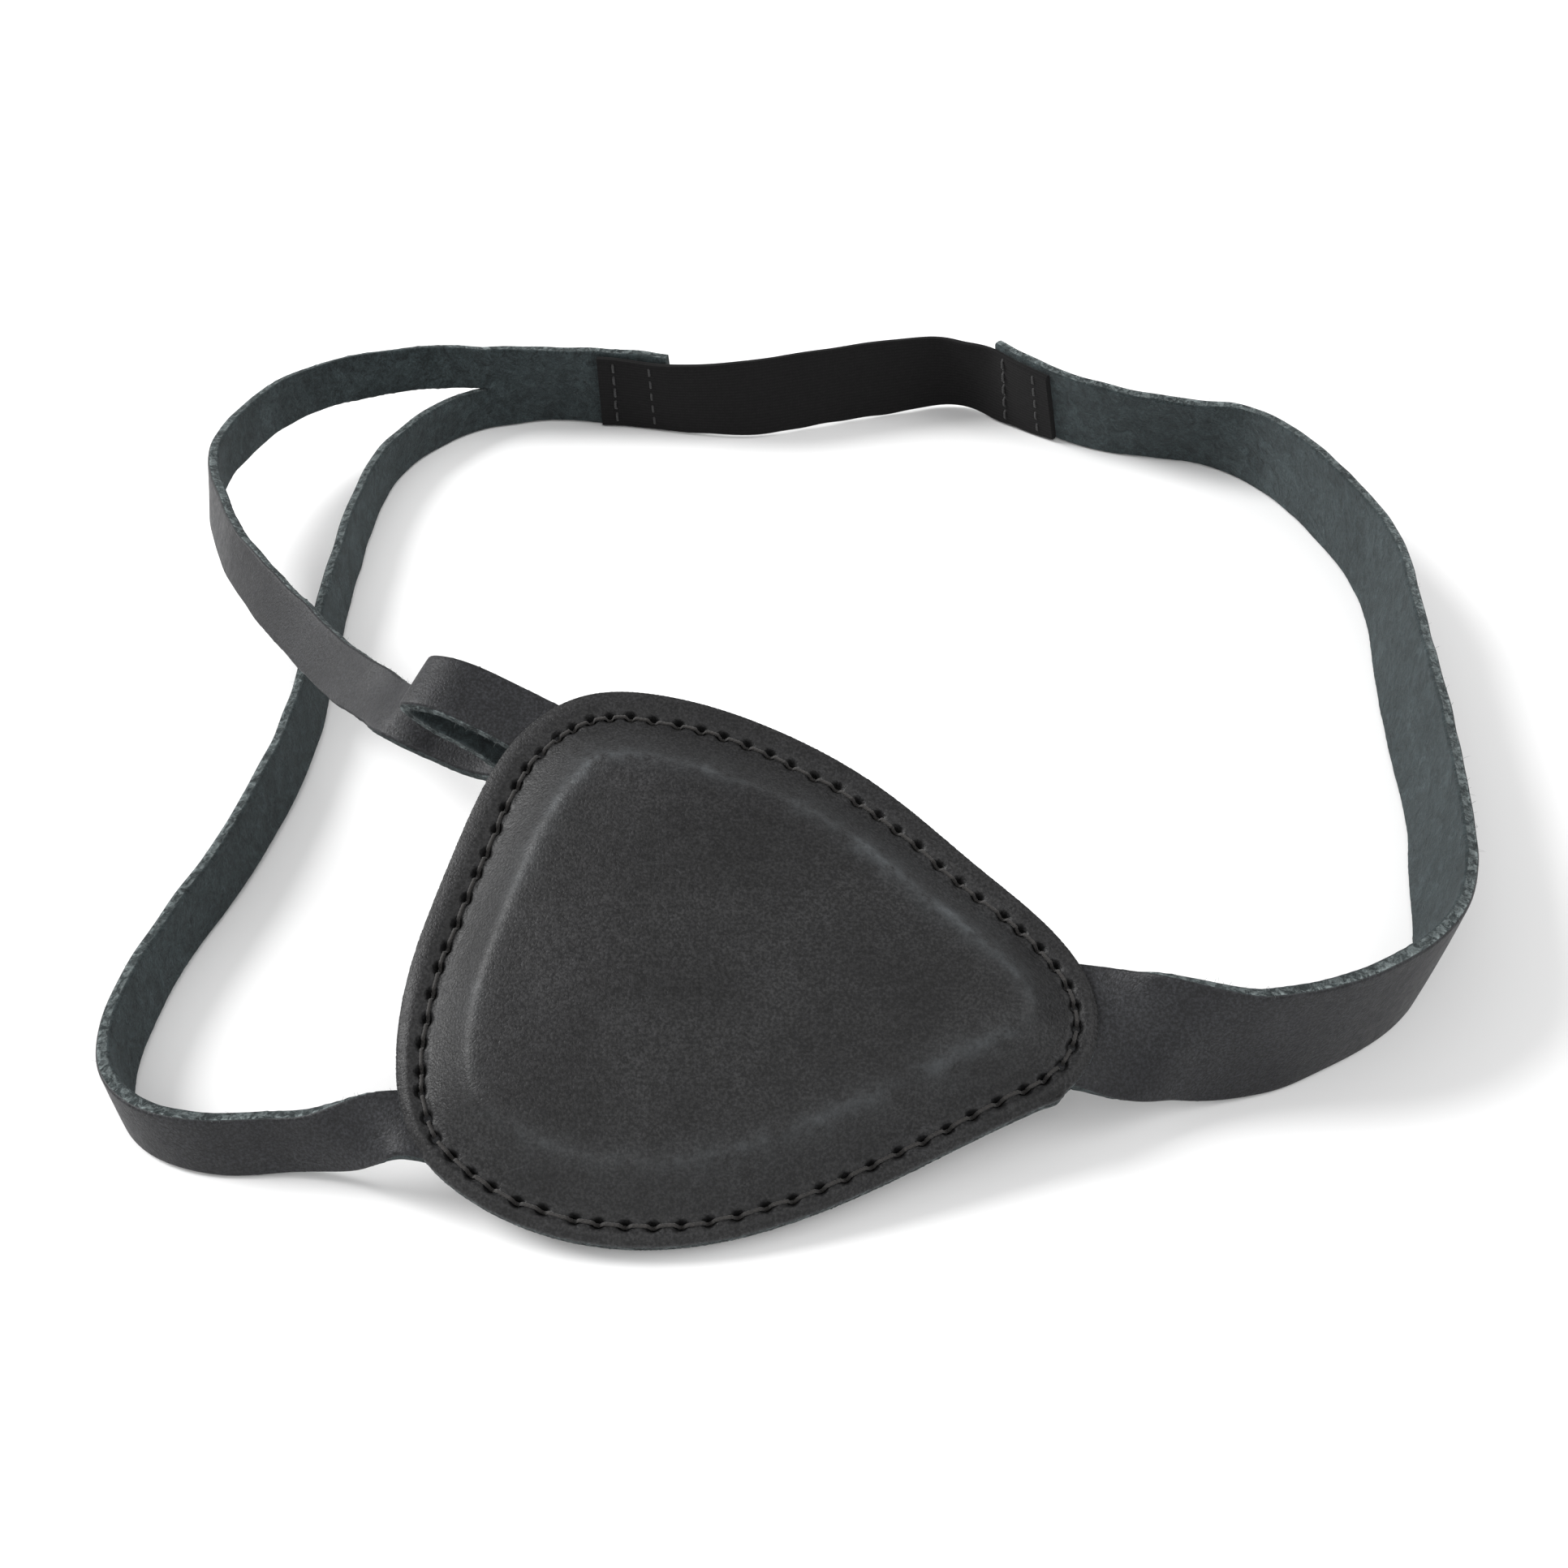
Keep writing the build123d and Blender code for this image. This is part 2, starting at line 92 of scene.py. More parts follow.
LOWER_LINE = [
    (-50.8, 80.0, 0.0, 0), (-54.3, 76.2, 0.0, 0), (-57.7, 70.4, 0.0, -2),
    (-60.2, 63.5, 0.0, 0), (-61.5, 55.5, 0.0, 4), (-61.9, 45.0, 0.0, 8),
    (-61.8, 32.0, 0.0, 10), (-61.3, 18.0, 0.0, 12), (-60.5, 4.0, 0.0, 15),
    (-60.1, -8.8, 0.0, 17), (-60.9, -21.0, 0.0, 16), (-62.7, -34.0, 0.0, 12),
    (-65.1, -44.5, 0.0, 8), (-67.1, -55.0, 0.0, 11), (-67.5, -64.5, 0.0, 14),
    (-65.8, -72.0, 0.0, 9), (-60.9, -76.9, 0.0, 1), (-55.0, -78.6, 0.0, -6),
    (-49.0, -78.6, 0.1, -7), (-44.0, -79.1, 1.0, -10), (-40.5, -79.5, 2.6, -32),
]
UPPER_LINE = [
    (-53.0, 82.2, 6.9, 6), (-59.5, 80.8, 7.0, 14), (-65.5, 78.0, 7.3, 16),
    (-71.5, 73.3, 7.6, 14), (-76.1, 67.2, 7.9, 11), (-79.1, 59.0, 8.1, 7),
    (-80.8, 48.5, 8.5, 3), (-80.2, 39.0, 8.6, -6), (-77.5, 30.5, 8.7, -14),
    (-72.9, 19.4, 8.9, -19), (-67.0, 9.3, 9.1, -30), (-60.9, 0.0, 9.4, -36),
    (-55.0, -8.8, 10.0, -39), (-49.8, -17.0, 12.3, -46), (-45.0, -24.6, 15.1, -56),
    (-41.7, -30.5, 17.7, -62),
]
# The S fold at the upper exit: distance along its heading into the patch, and height.
FOLD_LINE = [
    (-12.5, -10.4), (-6.5, -10.0), (-3.7, -8.9), (-2.5, -7.0), (-3.9, -5.4),
    (-8.8, -3.6), (-12.2, -2.4), (-13.4, -1.0), (-11.9, 0.5), (-7.5, 1.2),
    (-4.0, 0.7), (0.0, 0.0), (TAB, 0.0),
]
ELASTIC_LINE = [
    (28.7, 87.5, 0.3, -14), (24.7, 88.5, 0.3, -8), (20.5, 87.7, 0.3, -2),
    (12.5, 85.1, 0.3, 1), (4.4, 82.2, 0.3, 2), (-3.2, 79.4, 0.3, 2),
    (-8.5, 78.3, 0.3, -3),
]


# ---- curves ------------------------------------------------------------------------------
def unit(v):
    return v / np.linalg.norm(v, axis=-1, keepdims=True)


def natural(knots, values, at):
    """Natural cubic spline through rows of values at the knots."""
    knots = np.asarray(knots, float)
    values = np.asarray(values, float)
    gap = np.diff(knots)
    n = len(knots)
    system = np.eye(n)
    right = np.zeros_like(values)
    for i in range(1, n - 1):
        system[i, i - 1:i + 2] = gap[i - 1], 2 * (gap[i - 1] + gap[i]), gap[i]
        right[i] = 6 * ((values[i + 1] - values[i]) / gap[i] - (values[i] - values[i - 1]) / gap[i - 1])
    bend = np.linalg.solve(system, right)
    i = np.clip(np.searchsorted(knots, at) - 1, 0, n - 2)
    g = gap[i][:, None]
    low = (np.asarray(at) - knots[i])[:, None]
    high = g - low
    cubic = (bend[i] * high**3 + bend[i + 1] * low**3) / (6 * g)
    return cubic + (values[i] / g - bend[i] * g / 6) * high + (values[i + 1] / g - bend[i + 1] * g / 6) * low


def half_height(lean, width, thick):
    tilt = np.radians(np.abs(lean))
    return width / 2 * np.cos(tilt) + thick / 2 * np.sin(tilt)


class Line:
    """A strap's middle line: centre, grain-side normal and down direction at each distance."""

    def __init__(self, rows, width, thick):
        self.rows = np.array(rows, float)
        self.width = width
        self.thick = thick
        points = self.rows[:, :3].copy()
        points[:, 2] += half_height(self.rows[:, 3], width, thick)
        steps = np.linalg.norm(np.diff(points, axis=0), axis=1)
        self.knots = np.concatenate([[0.0], np.cumsum(steps)])
        self.length = self.knots[-1]

    def centre(self, at):
        row = natural(self.knots, self.rows, at)
        lift = np.maximum(row[:, 2], 0.0) + half_height(row[:, 3], self.width, self.thick)
        return np.column_stack([row[:, 0], row[:, 1], lift]), row[:, 3]

    def frames(self, at):
        """Centre, grain-side normal and down direction at these distances."""
        at = np.asarray(at, float)
        step = 0.05
        centre, lean = self.centre(at)
        along = unit(self.centre(at + step)[0] - self.centre(at - step)[0])
        outward = unit(np.column_stack([along[:, 1], -along[:, 0], np.zeros(len(at))]))
        across = np.cross(outward, along)
        tilt = np.radians(lean)[:, None]
        face = outward * np.cos(tilt) - across * np.sin(tilt)
        return centre, face, np.cross(along, face)


def row_at(origin, face, along, width, thick):
    """The row of a middle line whose section stands in this plane."""
    outward = unit(np.array([along[1], -along[0], 0.0]))
    lean = -math.degrees(math.acos(float(np.clip(face @ outward, -1, 1))))
    return (*origin[:2], origin[2] - half_height(lean, width, thick), lean)


def smooth(t):
    """An even step from 0 to 1 as t goes from 0 to 1."""
    t = np.clip(t, 0.0, 1.0)
    return t * t * (3 - 2 * t)


def wander(at, period, seed):
    """A smooth random curve of about unit size along a length."""
    local = np.random.default_rng(seed)
    waves = 6
    usual_size = 2.4
    total = np.zeros(len(at))
    for _ in range(waves):
        wave = period * (0.6 + 1.4 * local.random())
        total += np.sin(2 * math.pi * (np.asarray(at) / wave + local.random()))
    return total / usual_size


# ---- the patch's own frame ---------------------------------------------------------------
tilt = math.radians(PATCH_TILT)
yaw = math.radians(PATCH_YAW)
NORMAL = np.array([math.sin(yaw) * math.cos(tilt), -math.cos(yaw) * math.cos(tilt), math.sin(tilt)])
RIGHT = np.array([math.cos(yaw), math.sin(yaw), 0.0])
UP = np.cross(NORMAL, RIGHT)
CENTRE = np.array(PATCH_CENTRE)


def in_patch(a, b, h):
    """Points in space from places in the patch's plane and heights above it."""
    a, b, h = (np.asarray(v, float)[..., None] for v in (a, b, h))
    return CENTRE + a * RIGHT + b * UP + h * NORMAL


def exit_point(place, out):
    """The point this far outside a strap's exit, and the strap's direction there."""
    a, b, heading = place
    turn = math.radians(heading)
    along = math.cos(turn) * RIGHT + math.sin(turn) * UP
    return in_patch(a, b, 0.0) + out * along, along


def end_rows(place, outs, width, into=False):
    """Rows of a middle line at these distances outside an exit."""
    rows = []
    for out in outs:
        origin, along = exit_point(place, out)
        rows.append(row_at(origin, NORMAL, -along if into else along, width, LEATHER))
    return rows


# ---- mesh helpers ------------------------------------------------------------------------
def make_object(name, points, faces, materials, slots=None, uv=None, pale=None, dark=None):
    """A smooth mesh object from millimetre points; uv, pale and dark are given per vertex."""
    mesh = bpy.data.meshes.new(name)
    mesh.from_pydata((np.asarray(points) * MM).tolist(), [], faces)
    for material in materials:
        mesh.materials.append(material)
    if slots is not None:
        mesh.polygons.foreach_set("material_index", np.asarray(slots, np.int32))
    mesh.polygons.foreach_set("use_smooth", np.ones(len(mesh.polygons), bool))
    corner = np.zeros(len(mesh.loops), np.int32)
    mesh.loops.foreach_get("vertex_index", corner)
    if uv is not None:
        layer = mesh.uv_layers.new(name="UVMap")
        layer.data.foreach_set("uv", np.asarray(uv, np.float32)[corner].ravel())
    for label, values in (("pale", pale), ("dark", dark)):
        if values is not None:
            attribute = mesh.attributes.new(label, "FLOAT", "POINT")
            attribute.data.foreach_set("value", np.asarray(values, np.float32).ravel())
    mesh.validate()
    mesh.update()
    piece = bpy.data.objects.new(name, mesh)
    bpy.context.scene.collection.objects.link(piece)
    return piece


def section(width, thick, columns, corner):
    """Loop round a strap's section: x out of the grain side, y down; with face kinds."""
    half = width / 2
    flat = np.linspace(-half + corner, half - corner, columns)
    arc = np.radians([18, 45, 72])
    xs = []
    ys = []
    kinds = []
    top = thick / 2

    def put(x, y, kind):
        xs.append(x)
        ys.append(y)
        kinds.append(kind)

    for y in flat:
        put(top, y, 0)
    for angle in arc:
        put(top - corner + corner * math.cos(angle), half - corner + corner * math.sin(angle), 0)
    for x in np.linspace(top - corner, -top + corner, 4):
        put(x, half, 1)
    for angle in arc[::-1]:
        put(-top + corner - corner * math.cos(angle), half - corner + corner * math.sin(angle), 2)
    for y in flat[::-1]:
        put(-top, y, 2)
    for angle in arc:
        put(-top + corner - corner * math.cos(angle), -half + corner - corner * math.sin(angle), 2)
    for x in np.linspace(-top + corner, top - corner, 4):
        put(x, -half, 1)
    for angle in arc[::-1]:
        put(top - corner + corner * math.cos(angle), -half + corner - corner * math.sin(angle), 0)
    return np.array(xs), np.array(ys), np.array(kinds)


EDGE_WAVER = 0.08                 # how far a cut edge wanders from straight
FACE_WAVER = 0.07                 # and a face from flat
CUT_PALE = 0.12                   # wear of the cut edge that lies below
SEEN_CUT_HIGHLIGHT = 0.42              # painted highlight added on the one that lies above
ARRIS_HIGHLIGHT = 0.55                 # and a painted highlight on its grain-side corner


def ribbon(frames, at, width, thick, columns, seed, trim=0.0, bow=0.12, rough=0.05, corner=0.32,
           calm=None, turned=None):
    """Points, faces, kinds, uv and pale values of a strap along the frames.

    trim narrows it from its lower edge and less from its upper one, bow hollows its section,
    calm is the share of its unevenness, and turned is 1 where its other edge lies above.
    """
    centre, face, down = frames
    n = len(at)
    xs, ys, kinds = section(width, thick, columns, corner)
    k = len(xs)
    local = np.random.default_rng(seed)
    calm = np.ones(n) if calm is None else calm
    turned = np.zeros(n) if turned is None else turned
    trim = (np.ones(n) * trim)[:, None]
    edge = np.abs(ys) / (width / 2)
    waves = np.column_stack([wander(at, 11.0, seed + 1), wander(at, 11.0, seed + 2)])
    edge_wave = EDGE_WAVER * calm[:, None] * waves
    side = np.where(ys < 0, 0, 1)
    y = ys[None, :] + np.sign(ys)[None, :] * edge_wave[:, side] * (edge[None, :] > 0.8)
    y = y - trim * (0.5 + ys[None, :] / width) + 0.25 * trim * (0.5 - ys[None, :] / width)
    x = xs[None, :] - bow * calm[:, None] * (ys[None, :] / (width / 2)) ** 2
    x = x + FACE_WAVER * (calm * wander(at, 18.0, seed + 3))[:, None] * (1 - 0.4 * edge[None, :])
    cut = (kinds == 1)[None, :]
    fuzz = local.normal(0.0, rough, (n, k))
    y = y + np.sign(ys)[None, :] * fuzz * cut
    x = x + local.normal(0.0, rough * 0.35, (n, k)) * (kinds == 2)[None, :]
    points = centre[:, None, :] + x[..., None] * face[:, None, :] + y[..., None] * down[:, None, :]
    loop = np.concatenate([[0.0], np.cumsum(np.hypot(np.diff(xs), np.diff(ys)))])
    uv = np.empty((n, k, 2))
    uv[..., 0] = np.asarray(at)[:, None]
    uv[..., 1] = loop[None, :]
    pale = np.zeros((n, k))
    # Pale wear on both cut edges, and a painted highlight on the one that lies above, strongest at its
    # grain-side corner.
    seen = np.where(ys < 0, 1.0 - turned[:, None], turned[:, None])
    pale += cut * (CUT_PALE + SEEN_CUT_HIGHLIGHT * seen)
    arris = (np.abs(np.abs(ys) - width / 2) < 0.02) & (xs > 0.15)
    pale[:, arris] += ARRIS_HIGHLIGHT * seen[:, arris]
    grid = np.arange(n * k).reshape(n, k)
    here = grid[:-1]
    there = grid[1:]
    quads = np.stack([here, there, np.roll(there, -1, 1), np.roll(here, -1, 1)], -1).reshape(-1, 4)
    pair = np.where(kinds == np.roll(kinds, -1), kinds, 1)
    slots = np.tile(pair, n - 1)
    faces = quads.tolist()
    # The end faces have their own points, so that the long sides shade straight to the end.
    caps = np.arange(2 * k) + n * k
    faces.append(caps[:k].tolist())
    faces.append(caps[k:][::-1].tolist())
    slots = np.concatenate([slots, [1, 1]])
    solid = np.vstack([points.reshape(-1, 3), points[0], points[-1]])
    uv = np.vstack([uv.reshape(-1, 2), uv[0], uv[-1]])
    return solid, faces, slots, uv, np.concatenate([pale.ravel(), pale[0] * 0.3, pale[-1] * 0.3])


def merge(parts):
    """Several results of ribbon() as one."""
    points, faces, slots, uv, pale = [], [], [], [], []
    shift = 0
    for p, f, s, u, w in parts:
        points.append(p)
        faces.extend([[i + shift for i in face] for face in f])
        slots.append(s)
        uv.append(u)
        pale.append(w)
        shift += len(p)
    return np.vstack(points), faces, np.concatenate(slots), np.vstack(uv), np.concatenate(pale)


# ---- materials ---------------------------------------------------------------------------
def grey(level):
    return (level, level, level)


BLACK = grey(0.0)
WHITE = grey(1.0)


def new_material(name):
    """A material, its node tree and its shader."""
    material = bpy.data.materials.new(name)
    material.use_nodes = True
    tree = material.node_tree
    return material, tree, tree.nodes["Principled BSDF"]


def add_node(tree, kind, **inputs):
    made = tree.nodes.new(kind)
    for key, value in inputs.items():
        made.inputs[key.replace("_", " ")].default_value = value
    return made


def link(tree, source, target):
    tree.links.new(source, target)


def ramp(tree, source, low, high, first, last):
    """Colour between two stops, from a value."""
    made = tree.nodes.new("ShaderNodeValToRGB")
    made.color_ramp.elements[0].position = low
    made.color_ramp.elements[1].position = high
    made.color_ramp.elements[0].color = (*first, 1.0)
    made.color_ramp.elements[1].color = (*last, 1.0)
    link(tree, source, made.inputs["Fac"])
    return made.outputs["Color"]


def noise(tree, vector, scale, detail, rough=0.55, distortion=0.0):
    made = add_node(tree, "ShaderNodeTexNoise", Scale=scale, Detail=detail, Roughness=rough)
    made.inputs["Distortion"].default_value = distortion
    link(tree, vector, made.inputs["Vector"])
    return made.outputs["Fac"]


def mix(tree, factor, first, second, mode="MIX"):
    """Mixed colour; factor, first and second are sockets or constants."""
    made = tree.nodes.new("ShaderNodeMix")
    made.data_type = "RGBA"
    made.blend_type = mode
    for socket, value in ((made.inputs[0], factor), (made.inputs[6], first), (made.inputs[7], second)):
        if isinstance(value, bpy.types.NodeSocket):
            link(tree, value, socket)
        elif isinstance(value, tuple):
            socket.default_value = (*value, 1.0)
        else:
            socket.default_value = value
    return made.outputs[2]


def times(tree, first, second, factor=1.0):
    return mix(tree, factor, first, second, "MULTIPLY")


def math_node(tree, operation, first, second=0.0):
    made = tree.nodes.new("ShaderNodeMath")
    made.operation = operation
    for socket, value in ((made.inputs[0], first), (made.inputs[1], second)):
        if isinstance(value, bpy.types.NodeSocket):
            link(tree, value, socket)
        else:
            socket.default_value = value
    return made.outputs[0]


def bump(tree, height, strength, distance, normal=None):
    made = tree.nodes.new("ShaderNodeBump")
    made.inputs["Strength"].default_value = strength
    made.inputs["Distance"].default_value = distance
    link(tree, height, made.inputs["Height"])
    if normal is not None:
        link(tree, normal, made.inputs["Normal"])
    return made.outputs["Normal"]


def coordinates(tree, scale=(1.0, 1.0, 1.0), turn=(0.0, 0.0, 0.0), shift=(0.0, 0.0, 0.0)):
    """The object's own coordinates, stretched, turned and shifted."""
    source = tree.nodes.new("ShaderNodeTexCoord")
    place = tree.nodes.new("ShaderNodeMapping")
    place.inputs["Scale"].default_value = scale
    place.inputs["Rotation"].default_value = turn
    place.inputs["Location"].default_value = shift
    link(tree, source.outputs["Object"], place.inputs["Vector"])
    return place.outputs["Vector"]


def attribute_value(tree, label):
    """A value that the mesh carries at its vertices."""
    made = tree.nodes.new("ShaderNodeAttribute")
    made.attribute_name = label
    return made.outputs["Fac"]


PORE_DUST = (0.10, 0.085, 0.07)
SCRATCHED = (0.050, 0.052, 0.055)
# Colour of the painted shade in the stitch holes.
PAINTED_HOLE_SHADE = (0.0012, 0.0011, 0.0010)
# Pale of worn cut edges, also the painted highlight on the cut edge that lies above.
WORN_AND_HIGHLIT_FLESH = (0.25, 0.29, 0.29)


def wear_and_highlight(tree, vector, scale, detail, rough, distortion, low, high):
    """How much of the pale wear and painted highlight shows: the mesh's pale value, broken up by noise."""
    broken = ramp(tree, noise(tree, vector, scale, detail, rough, distortion), low, high, BLACK, WHITE)
    return times(tree, broken, attribute_value(tree, "pale"))


def scratches(tree, vector, scale, turn, shift):
    """Thin lines where a stretched noise crosses its middle value, in some places only."""
    stretched = coordinates(tree, scale, (0.6, 0.0, turn), (shift, shift, 0.0))
    streak = noise(tree, stretched, 1.0, 1.0, 0.4)
    line = math_node(tree, "ABSOLUTE", math_node(tree, "SUBTRACT", streak, 0.5))
    thin = ramp(tree, line, 0.0, 0.006, WHITE, BLACK)
    where = ramp(tree, noise(tree, vector, 70.0, 2.0), 0.55, 0.66, BLACK, grey(0.42))
    return times(tree, thin, where)


def grain_leather(name, dark, light, stress, rough_low, rough_high):
    """Smooth side of pull-up leather: pebbles, cloudy colour, dust specks, scratches."""
    material, tree, shader = new_material(name)
    vector = coordinates(tree)
    cloud = noise(tree, vector, 95.0, 5.0, 0.6, 0.4)
    fine = noise(tree, vector, 3400.0, 2.0, 0.6)
    middle = noise(tree, vector, 900.0, 4.0, 0.62, 0.5)
    base = ramp(tree, cloud, 0.32, 0.70, dark, light)
    mottle = ramp(tree, middle, 0.35, 0.72, grey(0.86), (1.16, 1.16, 1.18))
    base = times(tree, base, mottle)
    pepper = ramp(tree, fine, 0.40, 0.64, (0.50, 0.50, 0.51), (1.85, 1.85, 1.82))
    base = times(tree, base, pepper)
    cells = add_node(tree, "ShaderNodeTexVoronoi", Scale=2500.0, Randomness=1.0)
    cells.feature = "DISTANCE_TO_EDGE"
    link(tree, vector, cells.inputs["Vector"])
    # Painted shade in the creases between the pebbles, darkest where the bump is lowest.
    painted_crease_shade = ramp(tree, cells.outputs["Distance"], 0.0, 0.16, grey(0.66), WHITE)
    base = times(tree, base, painted_crease_shade, 0.8)
    # Dust in the pores.
    dust = add_node(tree, "ShaderNodeTexVoronoi", Scale=420.0, Randomness=1.0)
    link(tree, vector, dust.inputs["Vector"])
    speck = ramp(tree, dust.outputs["Distance"], 0.03, 0.06, WHITE, BLACK)
    chance = ramp(tree, dust.outputs["Color"], 0.86, 0.90, BLACK, WHITE)
    base = mix(tree, times(tree, speck, chance), base, PORE_DUST)
    for scale, turn, shift in (((60.0, 900.0, 200.0), 0.5, 0.0), ((800.0, 70.0, 150.0), 1.1, 3.0)):
        base = mix(tree, scratches(tree, vector, scale, turn, shift), base, SCRATCHED)
    # Pale stress where the leather is stretched over an edge.
    amount = wear_and_highlight(tree, vector, 620.0, 5.0, 0.7, 0.0, 0.34, 0.66)
    base = mix(tree, amount, base, stress)
    # Painted shade in the stitch holes, as deep as the mesh's dark value.
    base = mix(tree, attribute_value(tree, "dark"), base, PAINTED_HOLE_SHADE)
    link(tree, base, shader.inputs["Base Color"])
    gloss = ramp(tree, middle, 0.3, 0.75, grey(rough_low), grey(rough_high))
    link(tree, gloss, shader.inputs["Roughness"])
    shader.inputs["Specular IOR Level"].default_value = 0.27
    height = math_node(tree, "MINIMUM", cells.outputs["Distance"], 0.22)
    first = bump(tree, height, 0.45, 0.00012)
    second = bump(tree, fine, 0.45, 0.00010, first)
    third = bump(tree, middle, 0.25, 0.00020, second)
    link(tree, third, shader.inputs["Normal"])
    return material


def flesh_leather(name, dark, light, strength=0.8):
    """Suede side: short matted fibres."""
    material, tree, shader = new_material(name)
    vector = coordinates(tree)
    cloud = noise(tree, vector, 130.0, 6.0, 0.7, 0.8)
    fibre = noise(tree, vector, 1300.0, 6.0, 0.75, 2.5)
    clump = noise(tree, vector, 430.0, 5.0, 0.7, 1.2)
    base = ramp(tree, cloud, 0.30, 0.72, dark, light)
    tufts = ramp(tree, fibre, 0.38, 0.66, grey(0.42), grey(1.80))
    base = times(tree, base, tufts)
    patches = ramp(tree, clump, 0.38, 0.64, grey(0.62), grey(1.48))
    base = times(tree, base, patches)
    # Pale wear on cut edges, and a painted highlight where the cut edge lies above.
    amount = wear_and_highlight(tree, vector, 900.0, 6.0, 0.8, 1.0, 0.46, 0.60)
    base = mix(tree, amount, base, WORN_AND_HIGHLIT_FLESH)
    link(tree, base, shader.inputs["Base Color"])
    shader.inputs["Roughness"].default_value = 0.93
    shader.inputs["Specular IOR Level"].default_value = 0.2
    shader.inputs["Sheen Weight"].default_value = 0.16
    shader.inputs["Sheen Roughness"].default_value = 0.55
    shader.inputs["Sheen Tint"].default_value = (0.55, 0.62, 0.64, 1.0)
    first = bump(tree, fibre, strength, 0.00030)
    second = bump(tree, clump, strength, 0.00035, first)
    link(tree, second, shader.inputs["Normal"])
    return material


WARP_PITCH = 0.50
WEFT_PITCH = 0.42


def webbing(name):
    """Black woven elastic: fine ribs along the band, crossed by the weft."""
    material, tree, shader = new_material(name)
    source = tree.nodes.new("ShaderNodeTexCoord")
    split = tree.nodes.new("ShaderNodeSeparateXYZ")
    link(tree, source.outputs["UV"], split.inputs["Vector"])
    warp = math_node(tree, "SINE", math_node(tree, "MULTIPLY", split.outputs["Y"], 2 * math.pi / WARP_PITCH))
    weft = math_node(tree, "SINE", math_node(tree, "MULTIPLY", split.outputs["X"], 2 * math.pi / WEFT_PITCH))
    ribs = math_node(tree, "MULTIPLY", warp, 0.6)
    crossings = math_node(tree, "MULTIPLY", math_node(tree, "MULTIPLY", warp, weft), 0.4)
    weave = math_node(tree, "ADD", ribs, crossings)
    vector = coordinates(tree)
    fuzz = noise(tree, vector, 2200.0, 4.0, 0.7)
    # Painted shade: the colour follows the weave's height, darker in the grooves between the ribs.
    base = ramp(tree, weave, 0.0, 1.0, (0.0030, 0.0028, 0.0030), (0.0058, 0.0054, 0.0057))
    soft = ramp(tree, fuzz, 0.4, 0.7, grey(0.8), grey(1.5))
    link(tree, times(tree, base, soft), shader.inputs["Base Color"])
    shader.inputs["Roughness"].default_value = 0.88
    shader.inputs["Specular IOR Level"].default_value = 0.18
    shader.inputs["Sheen Weight"].default_value = 0.04
    first = bump(tree, weave, 0.22, 0.00010)
    second = bump(tree, fuzz, 0.5, 0.00010, first)
    link(tree, second, shader.inputs["Normal"])
    return material


def thread_material(name, dark, light):
    """Waxed thread or loose fibre."""
    material, tree, shader = new_material(name)
    vector = coordinates(tree)
    hairs = noise(tree, vector, 4200.0, 3.0, 0.7, 1.0)
    base = ramp(tree, hairs, 0.35, 0.70, dark, light)
    link(tree, base, shader.inputs["Base Color"])
    shader.inputs["Roughness"].default_value = 0.72
    shader.inputs["Sheen Weight"].default_value = 0.15
    link(tree, bump(tree, hairs, 0.6, 0.00006), shader.inputs["Normal"])
    return material


STRESSED_SHELL = (0.072, 0.079, 0.084)
STRESSED_STRAP = (0.07, 0.08, 0.082)
STRESSED_LINING = (0.05, 0.05, 0.05)

shell_grain = grain_leather(
    "shell_grain", (0.0085, 0.0084, 0.0088), (0.0165, 0.0164, 0.0170), STRESSED_SHELL, 0.40, 0.56)
strap_grain = grain_leather(
    "strap_grain", (0.0085, 0.0088, 0.0104), (0.0160, 0.0165, 0.0185), STRESSED_STRAP, 0.42, 0.60)
strap_flesh = flesh_leather("strap_flesh", (0.0115, 0.0165, 0.0175), (0.027, 0.036, 0.038))
cut_edge = flesh_leather("cut_edge", (0.004, 0.006, 0.0065), (0.036, 0.046, 0.047), 1.0)
rim_edge = flesh_leather("rim_edge", (0.009, 0.010, 0.0105), (0.020, 0.022, 0.023))
loose_fibre = thread_material("loose_fibre", (0.05, 0.06, 0.06), (0.16, 0.18, 0.18))
lining_face = grain_leather(
    "lining_face", (0.016, 0.016, 0.0165), (0.028, 0.027, 0.028), STRESSED_LINING, 0.62, 0.80)
elastic_weave = webbing("elastic_weave")
seam_thread = thread_material("seam_thread", (0.005, 0.0045, 0.004), (0.030, 0.026, 0.024))
lap_thread = thread_material("lap_thread", (0.006, 0.006, 0.006), (0.024, 0.024, 0.025))

# ---- straps ------------------------------------------------------------------------------
STATION = 0.6                     # between cross-sections of a strap
FOLD_STATION = 0.35
FORK_EASE = 6.0                   # a branch drifts from the fork to its own line over this
WIDE_COLUMNS = 21
BRANCH_COLUMNS = 11
BRANCH_BOW = 0.05
CALM_NEAR_FORK = 8.0
right_rows = end_rows(RIGHT_EXIT, (-TAB, OUT_OF_RIM), STRAP) + RIGHT_LINE
right_line = Line(right_rows, STRAP, LEATHER)
left_line = Line(LEFT_LINE, STRAP, LEATHER)
branch_offset = (STRAP - BRANCH) / 2
lower_rows = [LEFT_LINE[-1]] + LOWER_LINE + end_rows(LOWER_EXIT, (OUT_OF_RIM, -TAB), BRANCH, into=True)
lower_line = Line(lower_rows, BRANCH, LEATHER)

fold_origin, fold_out = exit_point(UPPER_EXIT, 0.0)
fold_heading = -fold_out
fold_points = np.array(FOLD_LINE)
fold_knots = np.concatenate([[0.0], np.cumsum(np.hypot(*np.diff(fold_points, axis=0).T))])


